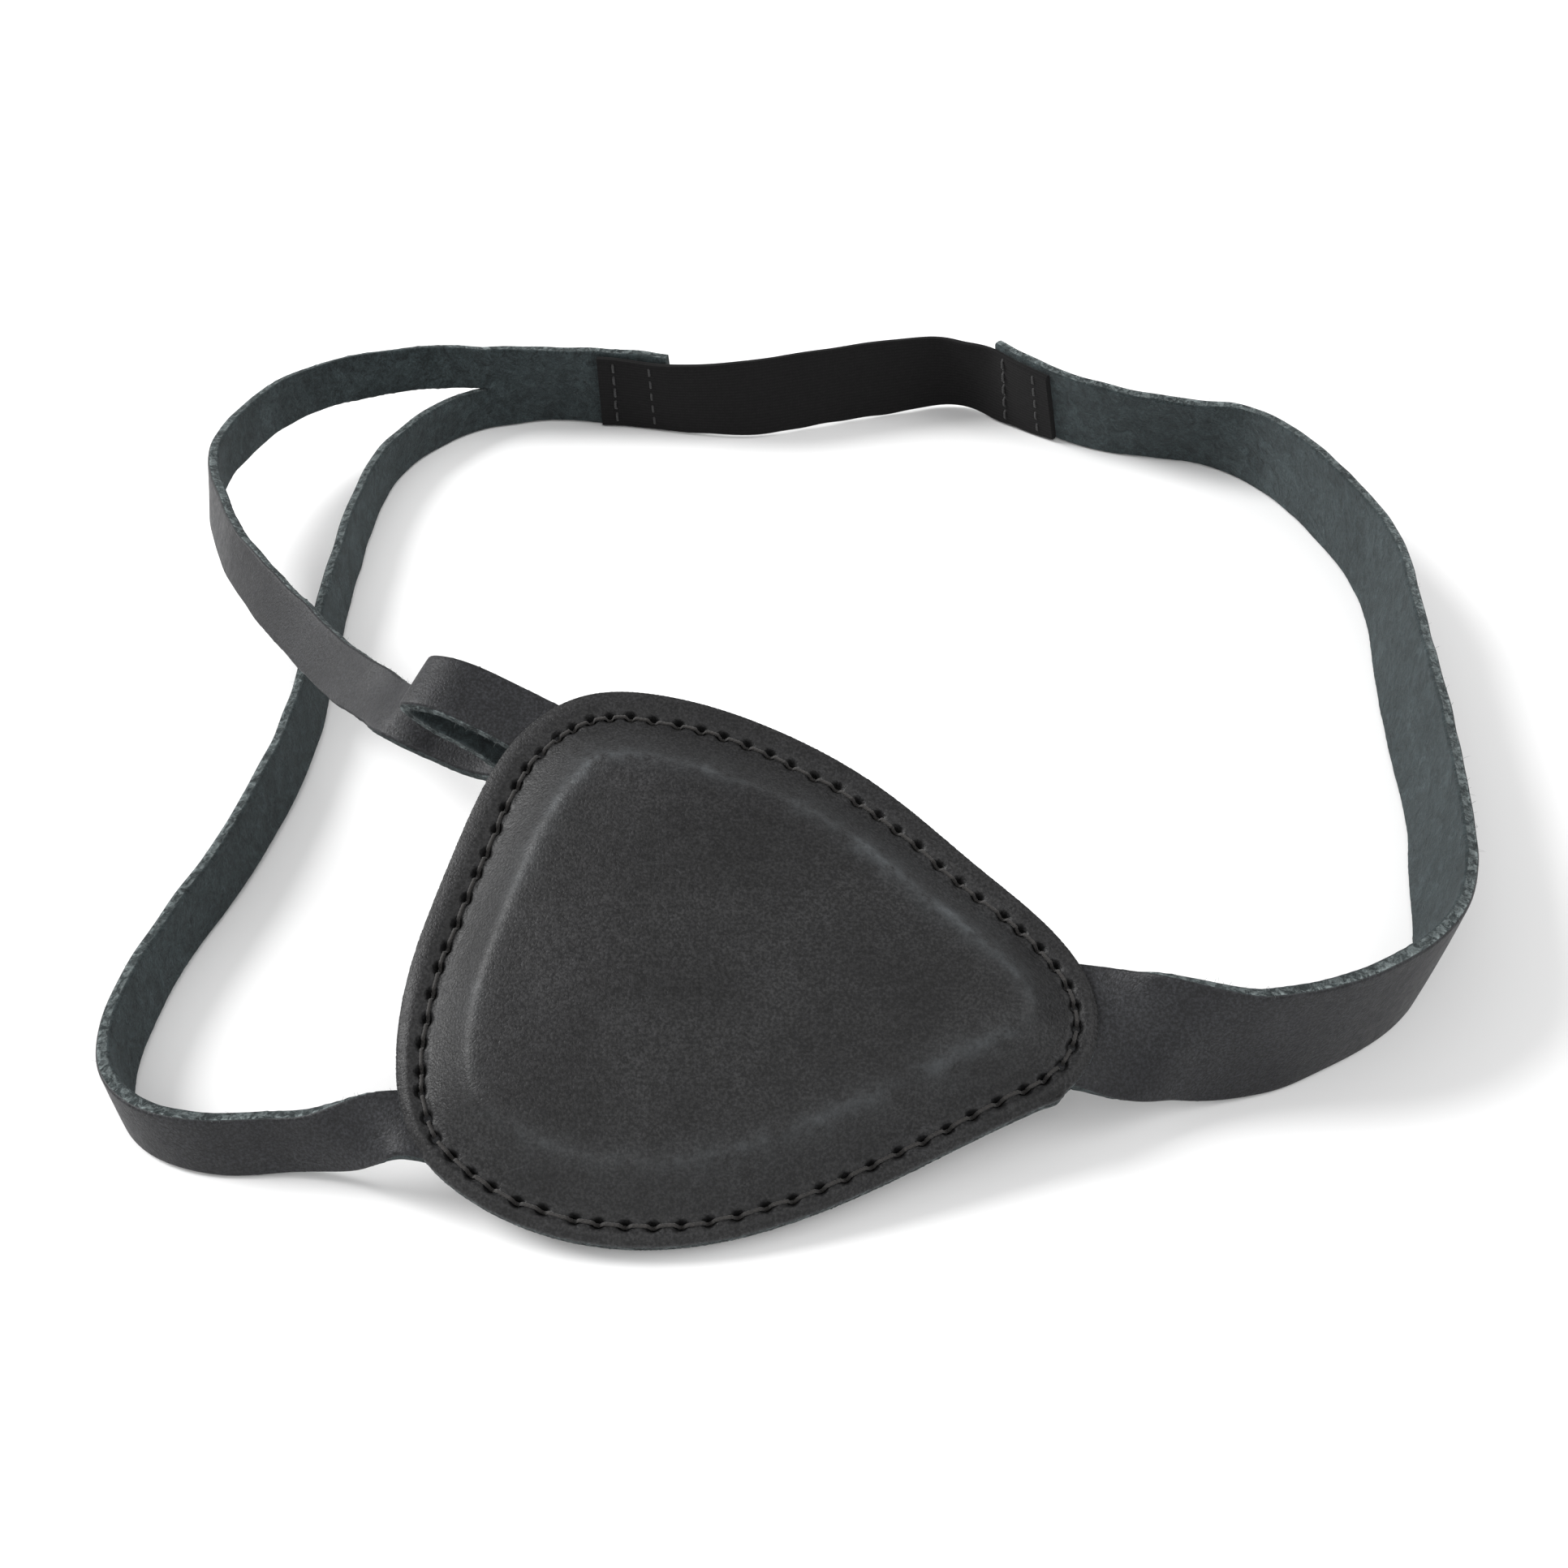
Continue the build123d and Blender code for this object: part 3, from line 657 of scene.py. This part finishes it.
def fold_frames(at):
    """Frames of the folded stretch of the upper branch."""
    step = 0.02
    place = natural(fold_knots, fold_points, at)
    run = unit(natural(fold_knots, fold_points, at + step) - natural(fold_knots, fold_points, at - step))
    centre = fold_origin + place[:, :1] * fold_heading + place[:, 1:] * NORMAL
    along = run[:, :1] * fold_heading + run[:, 1:] * NORMAL
    face = run[:, :1] * NORMAL - run[:, 1:] * fold_heading
    return centre, face, np.cross(along, face)


def stations(start, end, step=STATION):
    return np.linspace(start, end, max(3, int(round(abs(end - start) / step)) + 1))


fold_at = stations(0.0, fold_knots[-1], FOLD_STATION)
first_centre, first_face, first_down = (values[0] for values in fold_frames(np.array([0.0])))
first_along = np.cross(first_face, first_down)
fork_x, fork_y, _, fork_lean = LEFT_LINE[-1]
upper_rows = [(fork_x, fork_y, 2 * branch_offset, fork_lean)] + UPPER_LINE
upper_rows.append(row_at(first_centre, first_face, first_along, BRANCH, LEATHER))
upper_line = Line(upper_rows, BRANCH, LEATHER)


def from_fork(frames, at, side):
    """A branch's frames, starting square with the end of the wide part."""
    centre, face, down = (values[0] for values in left_line.frames(np.array([left_line.length])))
    start = (centre + side * down, face, down)
    keep = (1 - smooth(np.asarray(at) / FORK_EASE))[:, None]
    moved = [own + keep * (first - own[0]) for own, first in zip(frames, start)]
    return [moved[0], unit(moved[1]), unit(moved[2])]


def hairs(frames, at, width, count, seed, side=-1.0):
    """Loose fibres along a cut edge, as ribbon() gives a strap; side -1 is the upper edge."""
    local = np.random.default_rng(seed)
    centre, face, down = frames
    corners = np.radians([0.0, 120.0, 240.0])
    loose_fibre_slot = 3
    points = []
    faces = []
    for _ in range(count):
        j = local.integers(1, len(at) - 1)
        out = side * down[j]
        along = unit(centre[j + 1] - centre[j - 1])
        root = centre[j] + out * (width / 2 - 0.12) + local.uniform(-0.65, 0.65) * face[j]
        root = root + local.uniform(-0.3, 0.3) * along
        lean = unit(out * 0.5 + local.normal(0, 0.6) * along + local.normal(0, 0.45) * face[j])
        curl = local.normal(0, 0.25) * along + local.normal(0, 0.25) * face[j]
        length = local.uniform(0.25, 0.75)
        size = local.uniform(0.014, 0.026)
        base = len(points)
        for t in (0.0, 0.35, 0.7):
            middle = root + lean * length * t + curl * t * t * length
            for a in corners:
                points.append(middle + size * (1 - 0.4 * t) * (math.cos(a) * face[j] + math.sin(a) * along))
        points.append(root + lean * length + curl * length)
        for ring in (0, 3):
            for k in range(3):
                a = base + ring + k
                b = base + ring + (k + 1) % 3
                faces.append([a, b, b + 3, a + 3])
        for k in range(3):
            faces.append([base + 6 + k, base + 6 + (k + 1) % 3, base + 9])
        faces.append([base + 2, base + 1, base])
    total = len(points)
    slots = np.full(len(faces), loose_fibre_slot)
    return np.array(points), faces, slots, np.zeros((total, 2)), np.zeros(total)


right_at = stations(0.0, right_line.length)
# The strap is trimmed narrower where it enters the patch.
skived = 0.75 * (1 - smooth((right_at - 9.0) / 12.0))
bare = 20                         # stations at the sewn end that carry no loose fibres
right_frames = right_line.frames(right_at)
right_mesh = merge([
    ribbon(right_frames, right_at, STRAP, LEATHER, WIDE_COLUMNS, 11, trim=skived),
    hairs([values[bare:] for values in right_frames], right_at[bare:], STRAP, 420, 61),
])
strap_sides = [strap_grain, cut_edge, strap_flesh, loose_fibre]
right_strap = make_object("right_strap_leather", *right_mesh[:2], strap_sides, *right_mesh[2:])
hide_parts("right_strap_root", "right_strap")

wide_at = stations(0.0, left_line.length)
wide_calm = smooth((left_line.length - wide_at) / CALM_NEAR_FORK)
wide_mesh = ribbon(left_line.frames(wide_at), wide_at, STRAP, LEATHER, WIDE_COLUMNS, 21, calm=wide_calm)
lower_at = stations(0.0, lower_line.length)
lower_frames = from_fork(lower_line.frames(lower_at), lower_at, branch_offset)
# Each branch's distances start far from the others', so that their waves differ.
lower_mesh = ribbon(
    lower_frames, lower_at + 200, BRANCH, LEATHER, BRANCH_COLUMNS, 31,
    bow=BRANCH_BOW, calm=smooth(lower_at / CALM_NEAR_FORK))

upper_at = stations(0.0, upper_line.length - FOLD_STATION)
line_part = from_fork(upper_line.frames(upper_at), upper_at, -branch_offset)
fold_part = fold_frames(fold_at)
upper_frames = [np.vstack([a, b]) for a, b in zip(line_part, fold_part)]
# The frames are averaged where the line passes into the fold.
reach = 4                         # stations averaged on each side
spread = np.exp(-0.5 * (np.arange(-reach, reach + 1) / 2.0) ** 2)
spread /= spread.sum()
meeting = len(upper_at)
for values in upper_frames:
    sharp = values.copy()
    for i in range(meeting - 7, meeting + 8):
        values[i] = (spread[:, None] * sharp[i - reach:i + reach + 1]).sum(0)
upper_frames[1] = unit(upper_frames[1])
upper_frames[2] = unit(upper_frames[2])
both_at = np.concatenate([upper_at, upper_line.length + fold_at])
folded = smooth((both_at - upper_line.length - 6.0) / 3.0)
upper_mesh = ribbon(
    upper_frames, both_at + 500, BRANCH, LEATHER, BRANCH_COLUMNS, 41,
    bow=BRANCH_BOW, calm=smooth(both_at / CALM_NEAR_FORK), turned=folded)
fold_start = len(upper_at) + len(fold_at) // 3
left_mesh = merge([
    wide_mesh,
    lower_mesh,
    upper_mesh,
    hairs(left_line.frames(wide_at), wide_at, STRAP, 50, 62),
    hairs(lower_frames, lower_at, BRANCH, 330, 63),
    hairs([values[:fold_start] for values in upper_frames], both_at[:fold_start], BRANCH, 300, 64),
    hairs([values[fold_start:] for values in upper_frames], both_at[fold_start:], BRANCH, 150, 65, 1.0),
])
left_strap = make_object("left_strap_leather", *left_mesh[:2], strap_sides, *left_mesh[2:])
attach(left_strap, "patch")
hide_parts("left_strap")


# ---- elastic -----------------------------------------------------------------------------
LAP_DROP = 0.2                    # the elastic's middle below the leather's, in a lap


def lap_part(line, start, end):
    """Rows of the elastic's middle line, behind this stretch of leather."""
    rows = []
    centre, face, down = line.frames(np.linspace(start, end, 4))
    for c, x, y in zip(centre, face, down):
        along = np.cross(x, y)
        rows.append(row_at(c + LAP_SIDE * x + LAP_DROP * y, x, along, ELASTIC, ELASTIC_THICK))
    return rows


elastic_rows = lap_part(right_line, right_line.length - LAP, right_line.length) + ELASTIC_LINE
elastic_rows += lap_part(left_line, 0.0, LAP)
elastic_line = Line(elastic_rows, ELASTIC, ELASTIC_THICK)
elastic_at = stations(0.0, elastic_line.length, 0.4)
elastic_mesh = ribbon(
    elastic_line.frames(elastic_at), elastic_at, ELASTIC, ELASTIC_THICK, 60, 51,
    bow=0.0, rough=0.02, corner=0.3)
elastic = make_object("elastic_webbing_band", *elastic_mesh[:2], [elastic_weave], None, elastic_mesh[3])
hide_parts("elastic_band")

# ---- shell and lining --------------------------------------------------------------------
COLUMNS = 1100                    # vertices round the rim
DENSE = 6000                      # points of the finely divided outline


def ring_lengths(points):
    """Distances round a closed row of points, from its first one back to it."""
    sides = np.diff(np.vstack([points, points[:1]]), axis=0)
    return np.concatenate([[0.0], np.cumsum(np.linalg.norm(sides, axis=1))])


outline = np.array(OUTLINE)
ring_knots = ring_lengths(outline)
# The points are repeated before and after, so that the spline closes smoothly.
once = ring_knots[-1]
wrapped_knots = np.concatenate([ring_knots[:-1] - once, ring_knots[:-1], ring_knots + once])
wrapped_points = np.vstack([outline, outline, outline, outline[:1]])
dense_at = np.linspace(0.0, ring_knots[-1], DENSE + 1)[:-1]
dense = natural(wrapped_knots, wrapped_points, dense_at)
run_at = ring_lengths(dense)
closed = np.vstack([dense, dense[:1]])


def outline_at(distance):
    """Points of the outline at these arc lengths, and their inward normals."""

    def spot(at):
        at = np.mod(at, run_at[-1])
        return np.column_stack([np.interp(at, run_at, closed[:, i]) for i in (0, 1)])

    spots = np.mod(distance, run_at[-1])
    span = 1.2
    tangent = unit(spot(spots + span) - spot(spots - span))
    return spot(spots), np.column_stack([-tangent[:, 1], tangent[:, 0]])


def seam_inset(place):
    """Stitch line to the rim's edge: closer along the lower rim."""
    a = place[..., 0]
    b = place[..., 1]
    left = np.exp(-(((a + 30.0) / 9.0) ** 2) - ((b - 4.0) / 16.0) ** 2)
    return 2.35 + 0.75 * np.clip(b / 27.0, -1.0, 1.0) + 0.5 * left


STITCHES = 72
seam_at = (np.arange(STITCHES) + 0.5) * run_at[-1] / STITCHES
seam_rng = np.random.default_rng(3)
hole_at = np.sort(seam_at + seam_rng.normal(0.0, 0.12, STITCHES))
hole_place, hole_in = outline_at(hole_at)
hole_inset = seam_inset(hole_place) + seam_rng.normal(0.0, 0.06, STITCHES)
holes = hole_place + hole_in * hole_inset[:, None]

edge_place = outline_at(np.linspace(0.0, run_at[-1], COLUMNS, endpoint=False))[0]
radius = np.linalg.norm(edge_place, axis=1)
# The rim's cut has a small corner where the knife was set down again.
corner_size = 0.42
from_corner = np.linalg.norm(edge_place - np.array(CUT_CORNER), axis=1)
edge_place = edge_place * (1 + corner_size * np.exp(-(from_corner**2)) / radius)[:, None]
radius = np.linalg.norm(edge_place, axis=1)
# Rings at these insets near the rim, closer together at the seam, then shrinking to the middle.
SEAM_BAND = 4.6
RING_BAND = 11.0
near = np.concatenate([np.arange(0.0, SEAM_BAND, 0.17), np.arange(SEAM_BAND, RING_BAND, 0.3)])
shares = np.linspace(1.0, 0.02, 34)


def radial_grid(shrink=0.0):
    """Plane coordinates of all rings, from the rim to the middle, and each vertex's inset."""
    rings = [edge_place * ((radius - shrink - d) / radius)[:, None] for d in near]
    last = rings[-1]
    rings += [last * share for share in shares[1:]]
    plane = np.array(rings)
    flat = plane.reshape(-1, 2)
    inset = np.empty(len(flat))
    sample = closed[::8]
    batch = 4000
    for start in range(0, len(flat), batch):
        block = flat[start:start + batch]
        gap = np.linalg.norm(block[:, None, :] - sample[None, :, :], axis=2)
        inset[start:start + batch] = gap.min(1)
    return plane, inset.reshape(plane.shape[:2])


def soft_min(a, b, width):
    """The lower of two heights, rounded over where they cross."""
    return 0.5 * (a + b - np.sqrt((a - b) ** 2 + width**2))


DOME_FOOT = 0.75                  # from the seam to the foot of the dome
DOME_WALL = 4.1                   # from the foot to the ridge
RIDGE_HEIGHT = 3.3
CROWN_EDGE = 2.55
CROWN_RISE = 2.1                  # from there to the middle


def dome_height(plane, inset, ridge_round=0.5):
    """Height of the moulded dome above the rim's face, and the ridge's inset."""
    b = plane[..., 1]
    foot = seam_inset(plane) + DOME_FOOT
    # The wall is a little wider towards the top.
    ridge = foot + DOME_WALL + 0.4 * np.clip(b / 27.0, -0.4, 1.0) + 1.1 * smooth((b - 10.0) / 12.0)
    rise = np.clip((inset - foot) / (ridge - foot), 0.0, None)
    wall = RIDGE_HEIGHT * np.where(rise < 1, rise**1.25, rise)
    share = np.linalg.norm(plane, axis=-1) / radius
    crown = CROWN_EDGE + CROWN_RISE * (1 - share**2)
    height = soft_min(wall, crown, ridge_round)
    return np.where(inset < foot, 0.0, np.maximum(height, 0.0)), ridge


def pits(plane, depth, size):
    """Sum of the dents round the stitch holes, and the painted shade at each point in them."""
    total = np.zeros(plane.shape[:2])
    shade = np.zeros(plane.shape[:2])
    rows = slice(0, len(near))
    block = plane[rows]
    for hole, inward in zip(holes, hole_in):
        offset = block - hole
        tangent = np.array([-inward[1], inward[0]])
        u = offset @ tangent
        v = offset @ inward
        apart = (u / (0.56 * size)) ** 2 + (v / (0.44 * size)) ** 2
        total[rows] += depth * np.exp(-apart ** 1.6)
        # The thread pulls the leather down a little further out as well.
        total[rows] += 0.12 * np.exp(-((u / 1.2) ** 2 + (v / 0.9) ** 2))
        # Painted shade in each hole, darkest at its middle.
        shade[rows] += np.exp(-(apart / 1.15) ** 1.6)
    return total, np.clip(shade * 1.1, 0.0, 1.0)


plane, inset = radial_grid()
height, ridge = dome_height(plane, inset)
# The cut edge is rolled over, most of all below.
lower_side = np.clip(-plane[..., 1] / 26.0, 0.0, 1.0)
roll = (0.28 + 0.55 * lower_side) * np.clip(1 - inset / 1.3, 0.0, 1.0) ** 2
seam_gap = inset - seam_inset(plane)
GROOVE = 0.16                     # depth of the seam's groove
groove = GROOVE * np.exp(-(seam_gap / 0.7) ** 2)
swell = 0.10 * np.exp(-((seam_gap + 1.1) / 0.8) ** 2)
dents, hole_shade = pits(plane, 0.95, 1.0)
front = LEATHER + height - roll - groove + swell - dents
# The crown isn't quite even.
uneven = np.sin(plane[..., 0] * 0.31 + 1.0) * np.cos(plane[..., 1] * 0.27)
front += 0.05 * uneven * smooth((inset - 8) / 6)
WALL = 1.4                        # shell's thickness along the normal, over the dome
THINNEST = 0.5
under = np.minimum(np.maximum(LEATHER + height - WALL, 0.0), front - THINNEST)
# Pale stress: a narrow line on the ridge, a soft band over it and a faint one on the wall.
ring_pale = np.zeros(inset.shape)
for strength, beyond, width in ((0.42, 0.1, 0.55), (0.40, 0.2, 1.6), (0.10, -2.6, 1.6)):
    ring_pale += strength * np.exp(-((inset - ridge - beyond) / width) ** 2)
around = np.arctan2(plane[..., 1], plane[..., 0])
patchy = 0.62 + 0.25 * np.sin(3 * around + 0.6) + 0.18 * np.sin(11 * around + 2.0)
patchy += 0.12 * np.sin(23 * around)
ring_pale *= np.clip(patchy, 0.15, 1.1)
# It shows most along the top and the lower right, and least on the left.
ring_pale *= 0.45 + 0.75 * smooth((plane[..., 0] + 0.7 * plane[..., 1] + 22.0) / 30.0)


def closed_sheet(name, plane, top, bottom, pale, dark, materials, wall_kind):
    """A closed leather piece from its upper and lower heights over one radial grid.

    pale and dark are given for its vertices, and materials are for its top, edge and bottom;
    the first wall_kind rows of its edge take the top's.
    """
    rings, columns = top.shape
    edge_steps = 5
    top_points = in_patch(plane[..., 0], plane[..., 1], top).reshape(-1, 3)
    low_points = in_patch(plane[..., 0], plane[..., 1], bottom).reshape(-1, 3)
    edge_points = []
    edge_rng = np.random.default_rng(len(name))
    for i in range(1, edge_steps + 1):
        t = i / (edge_steps + 1)
        bulge = 0.16 * math.sin(math.pi * t) ** 0.7
        grown = plane[0] * (1 + (bulge + edge_rng.normal(0, 0.02, columns)) / radius)[:, None]
        high = top[0] * (1 - t) + bottom[0] * t
        edge_points.append(in_patch(grown[:, 0], grown[:, 1], high))
    middle_top = in_patch(0.0, 0.0, top[-1].mean())
    middle_low = in_patch(0.0, 0.0, bottom[-1].mean())
    points = np.vstack([top_points, low_points, *edge_points, middle_top[None], middle_low[None]])
    count = rings * columns
    upper = np.arange(count).reshape(rings, columns)
    lower = upper + count
    edge = np.arange(edge_steps * columns).reshape(edge_steps, columns) + 2 * count
    faces = []
    slots = []

    def strip(a, b, kind):
        quads = np.stack([a, np.roll(a, -1), np.roll(b, -1), b], -1)
        faces.extend(quads.tolist())
        slots.extend([kind] * len(quads))

    for i in range(rings - 1):
        strip(upper[i], upper[i + 1], 0)
        strip(lower[i + 1], lower[i], 2)
    chain = [upper[0], *edge, lower[0]]
    for i in range(len(chain) - 1):
        strip(chain[i + 1], chain[i], 0 if i < wall_kind else 1)
    hub = len(points) - 2
    for j in range(columns):
        after = (j + 1) % columns
        faces.append([int(upper[-1][j]), int(upper[-1][after]), hub])
        faces.append([int(lower[-1][after]), int(lower[-1][j]), hub + 1])
        slots.extend([0, 2])
    edge_count = edge_steps * columns
    edge_pale = 0.35
    weights = np.concatenate([pale.ravel(), np.zeros(count), np.full(edge_count, edge_pale), [0.0, 0.0]])
    # The dark values are the painted shade in the stitch holes.
    shade = np.concatenate([dark[0].ravel(), dark[1].ravel(), np.zeros(edge_count + 2)])
    return make_object(name, points, faces, materials, slots, None, weights, shade)


shell = closed_sheet(
    "shell_moulded_leather", plane, front, under, ring_pale, (hole_shade, hole_shade * 0),
    [shell_grain, rim_edge, strap_flesh], 2)
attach(shell, "patch")
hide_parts("front_shell")

SHRINK = 0.12                     # lining's edge inside the shell's
lining_plane, lining_inset = radial_grid(SHRINK)
lining_height = dome_height(lining_plane, lining_inset + SHRINK, 0.9)[0]
lining_top = np.minimum(-0.06 + np.maximum(lining_height - 0.35, 0.0), LEATHER + lining_height - 1.6)
lining_dents, lining_shade = pits(lining_plane, 0.30, 0.9)
lining_dents = np.clip(lining_dents, 0.0, 0.45)
lining_low = lining_top - LINING + 0.08 + lining_dents
# Its outermost two rings are pared.
lining_low[0] += 0.22
lining_low[1] += 0.08
lining = closed_sheet(
    "lining_moulded_leather", lining_plane, lining_top, lining_low, lining_height * 0,
    (lining_shade * 0, lining_shade), [lining_face, rim_edge, lining_face], 0)
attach(lining, "patch")
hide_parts("back_lining")


# ---- threads -----------------------------------------------------------------------------
PLY_TURN = 1.1                    # length of thread for one turn of its plies


def twisted(start, end, lift, sag, size, seed, pieces=22, sides=12):
    """A three-ply thread from start to end, whose ends sink by sag against lift."""
    local = np.random.default_rng(seed)
    t = np.linspace(0.0, 1.0, pieces)
    line = start + (end - start) * t[:, None]
    length = np.linalg.norm(end - start)
    along = unit(end - start)
    side = unit(np.cross(along, lift))
    arch = -sag * smooth((np.abs(2 * t - 1) - 0.50) / 0.42)
    line = line + arch[:, None] * unit(lift) + (0.05 * local.normal() * np.sin(math.pi * t))[:, None] * side
    angle = np.linspace(0, 2 * math.pi, sides, endpoint=False)
    turn = 2 * math.pi * length / PLY_TURN * t + local.random() * 6
    lobes = size / 2 * (0.72 + 0.28 * np.abs(np.cos(1.5 * (angle[None, :] - turn[:, None]))))
    out = unit(lift)
    points = line[:, None, :] + (lobes * np.cos(angle))[..., None] * side
    points = points + (lobes * np.sin(angle))[..., None] * out
    grid = np.arange(pieces * sides).reshape(pieces, sides)
    quads = np.stack([grid[:-1], np.roll(grid[:-1], -1, 1), np.roll(grid[1:], -1, 1), grid[1:]], -1)
    faces = quads.reshape(-1, 4).tolist()
    faces.append(grid[0][::-1].tolist())
    faces.append(grid[-1].tolist())
    return points.reshape(-1, 3), faces


def thread_rows(name, spans, material, size, body, node):
    """One piece of many stitches; a span is start, end, lift direction and sunk depth."""
    points = []
    faces = []
    shift = 0
    for i, (start, end, lift, sag) in enumerate(spans):
        p, f = twisted(start, end, lift, sag, size, 100 + i)
        points.append(p)
        faces.extend([[v + shift for v in face] for face in f])
        shift += len(p)
    made = make_object(name, np.vstack(points), faces, [material])
    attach(made, body)
    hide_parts(node)


def seam_spans(level, lift, sag):
    """Stitches from each hole of the rim to the next, at this height."""
    spots = [in_patch(*hole, level) for hole in holes]
    return [(a, b, lift, sag) for a, b in zip(spots, spots[1:] + spots[:1])]


front_spans = seam_spans(LEATHER - GROOVE - 0.02, NORMAL, 0.8)
back_spans = seam_spans(-LINING - 0.05, -NORMAL, 0.45)
thread_rows("shell_seam_thread", front_spans, seam_thread, 0.40, "patch", "shell_thread")
thread_rows("lining_seam_thread", back_spans, seam_thread, 0.38, "patch", "lining_thread")

LAP_STITCHES = 5                  # stitches across the strap in each row
LAP_MARGIN = 0.5
STITCH_GAP = 0.12


def lap_spans(line, places, side):
    """Stitches across the strap in each row of a lap, on the face at height side."""
    spans = []
    centre, face, down = line.frames(np.asarray(places, float))
    half = ELASTIC / 2 - LAP_MARGIN
    across = np.linspace(-half, half, LAP_STITCHES + 1)
    out = 1.0 if side > 0 else -1.0
    for c, x, y in zip(centre, face, down):
        for low, high in zip(across[:-1], across[1:]):
            start = c + side * x + (low + STITCH_GAP) * y
            end = c + side * x + (high - STITCH_GAP) * y
            spans.append((start, end, out * x, 0.35))
    return spans


LAP_THREAD = 0.38
outer_side = LEATHER / 2 + 0.10
inner_side = LAP_SIDE - ELASTIC_THICK / 2 - 0.10
right_places = [right_line.length - row for row in LAP_ROWS]
for line, side_name, places, body in (
    (right_line, "right", right_places, "right_side"),
    (left_line, "left", LAP_ROWS, "patch"),
):
    for thread, face_name, level in (("needle", "outer", outer_side), ("bobbin", "inner", inner_side)):
        piece = f"{side_name}_lap_{thread}_thread"
        node = f"{side_name}_lap_{face_name}_thread"
        thread_rows(piece, lap_spans(line, places, level), lap_thread, LAP_THREAD, body, node)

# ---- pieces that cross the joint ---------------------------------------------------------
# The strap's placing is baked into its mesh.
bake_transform(right_strap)
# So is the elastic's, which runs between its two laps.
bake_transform(elastic)

# ---- floor, light and camera -------------------------------------------------------------
FLOOR_REACH = 30.0
FLOOR_DROP = 0.0002
corners = [(x * FLOOR_REACH, y * FLOOR_REACH, 0) for x, y in ((-1, -1), (1, -1), (1, 1), (-1, 1))]
floor_mesh = bpy.data.meshes.new("floor")
floor_mesh.from_pydata(corners, [], [(0, 1, 2, 3)])
floor_material, _, floor_shader = new_material("pale_floor")
floor_shader.inputs["Base Color"].default_value = (0.88, 0.88, 0.88, 1.0)
floor_shader.inputs["Roughness"].default_value = 0.9
floor_shader.inputs["Specular IOR Level"].default_value = 0.1
floor_mesh.materials.append(floor_material)
floor = bpy.data.objects.new("floor", floor_mesh)
bpy.context.scene.collection.objects.link(floor)
floor.location.z = -FLOOR_DROP


def sun(name, direction, angle, strength):
    """Soft light from that direction, angle degrees wide."""
    data = bpy.data.lights.new(name, "SUN")
    data.angle = math.radians(angle)
    data.energy = strength
    lamp = bpy.data.objects.new(name, data)
    bpy.context.scene.collection.objects.link(lamp)
    lamp.location = direction
    lamp.rotation_euler = Vector(direction).to_track_quat("Z", "Y").to_euler()


sun("key", (-0.80, 0.22, 0.62), 30.0, 3.3)
sun("fill", (0.72, -0.12, 0.68), 45.0, 0.9)
sun("front", (-0.10, -0.80, 0.60), 45.0, 0.8)

world = bpy.data.worlds.new("studio")
bpy.context.scene.world = world
world.use_nodes = True
backdrop = world.node_tree.nodes["Background"]
backdrop.inputs["Color"].default_value = (1.0, 1.0, 1.0, 1.0)
backdrop.inputs["Strength"].default_value = 0.62

camera_data = bpy.data.cameras.new("camera")
camera_data.lens = 46.58
camera_data.sensor_width = 36.0
camera_data.clip_start = 0.01
camera = bpy.data.objects.new("camera", camera_data)
bpy.context.scene.collection.objects.link(camera)
camera.location = (-0.0005, -0.215, 0.1449)
camera.rotation_euler = (math.radians(54.0), 0.0, 0.0)
bpy.context.scene.camera = camera
bpy.context.scene.view_settings.view_transform = "Standard"
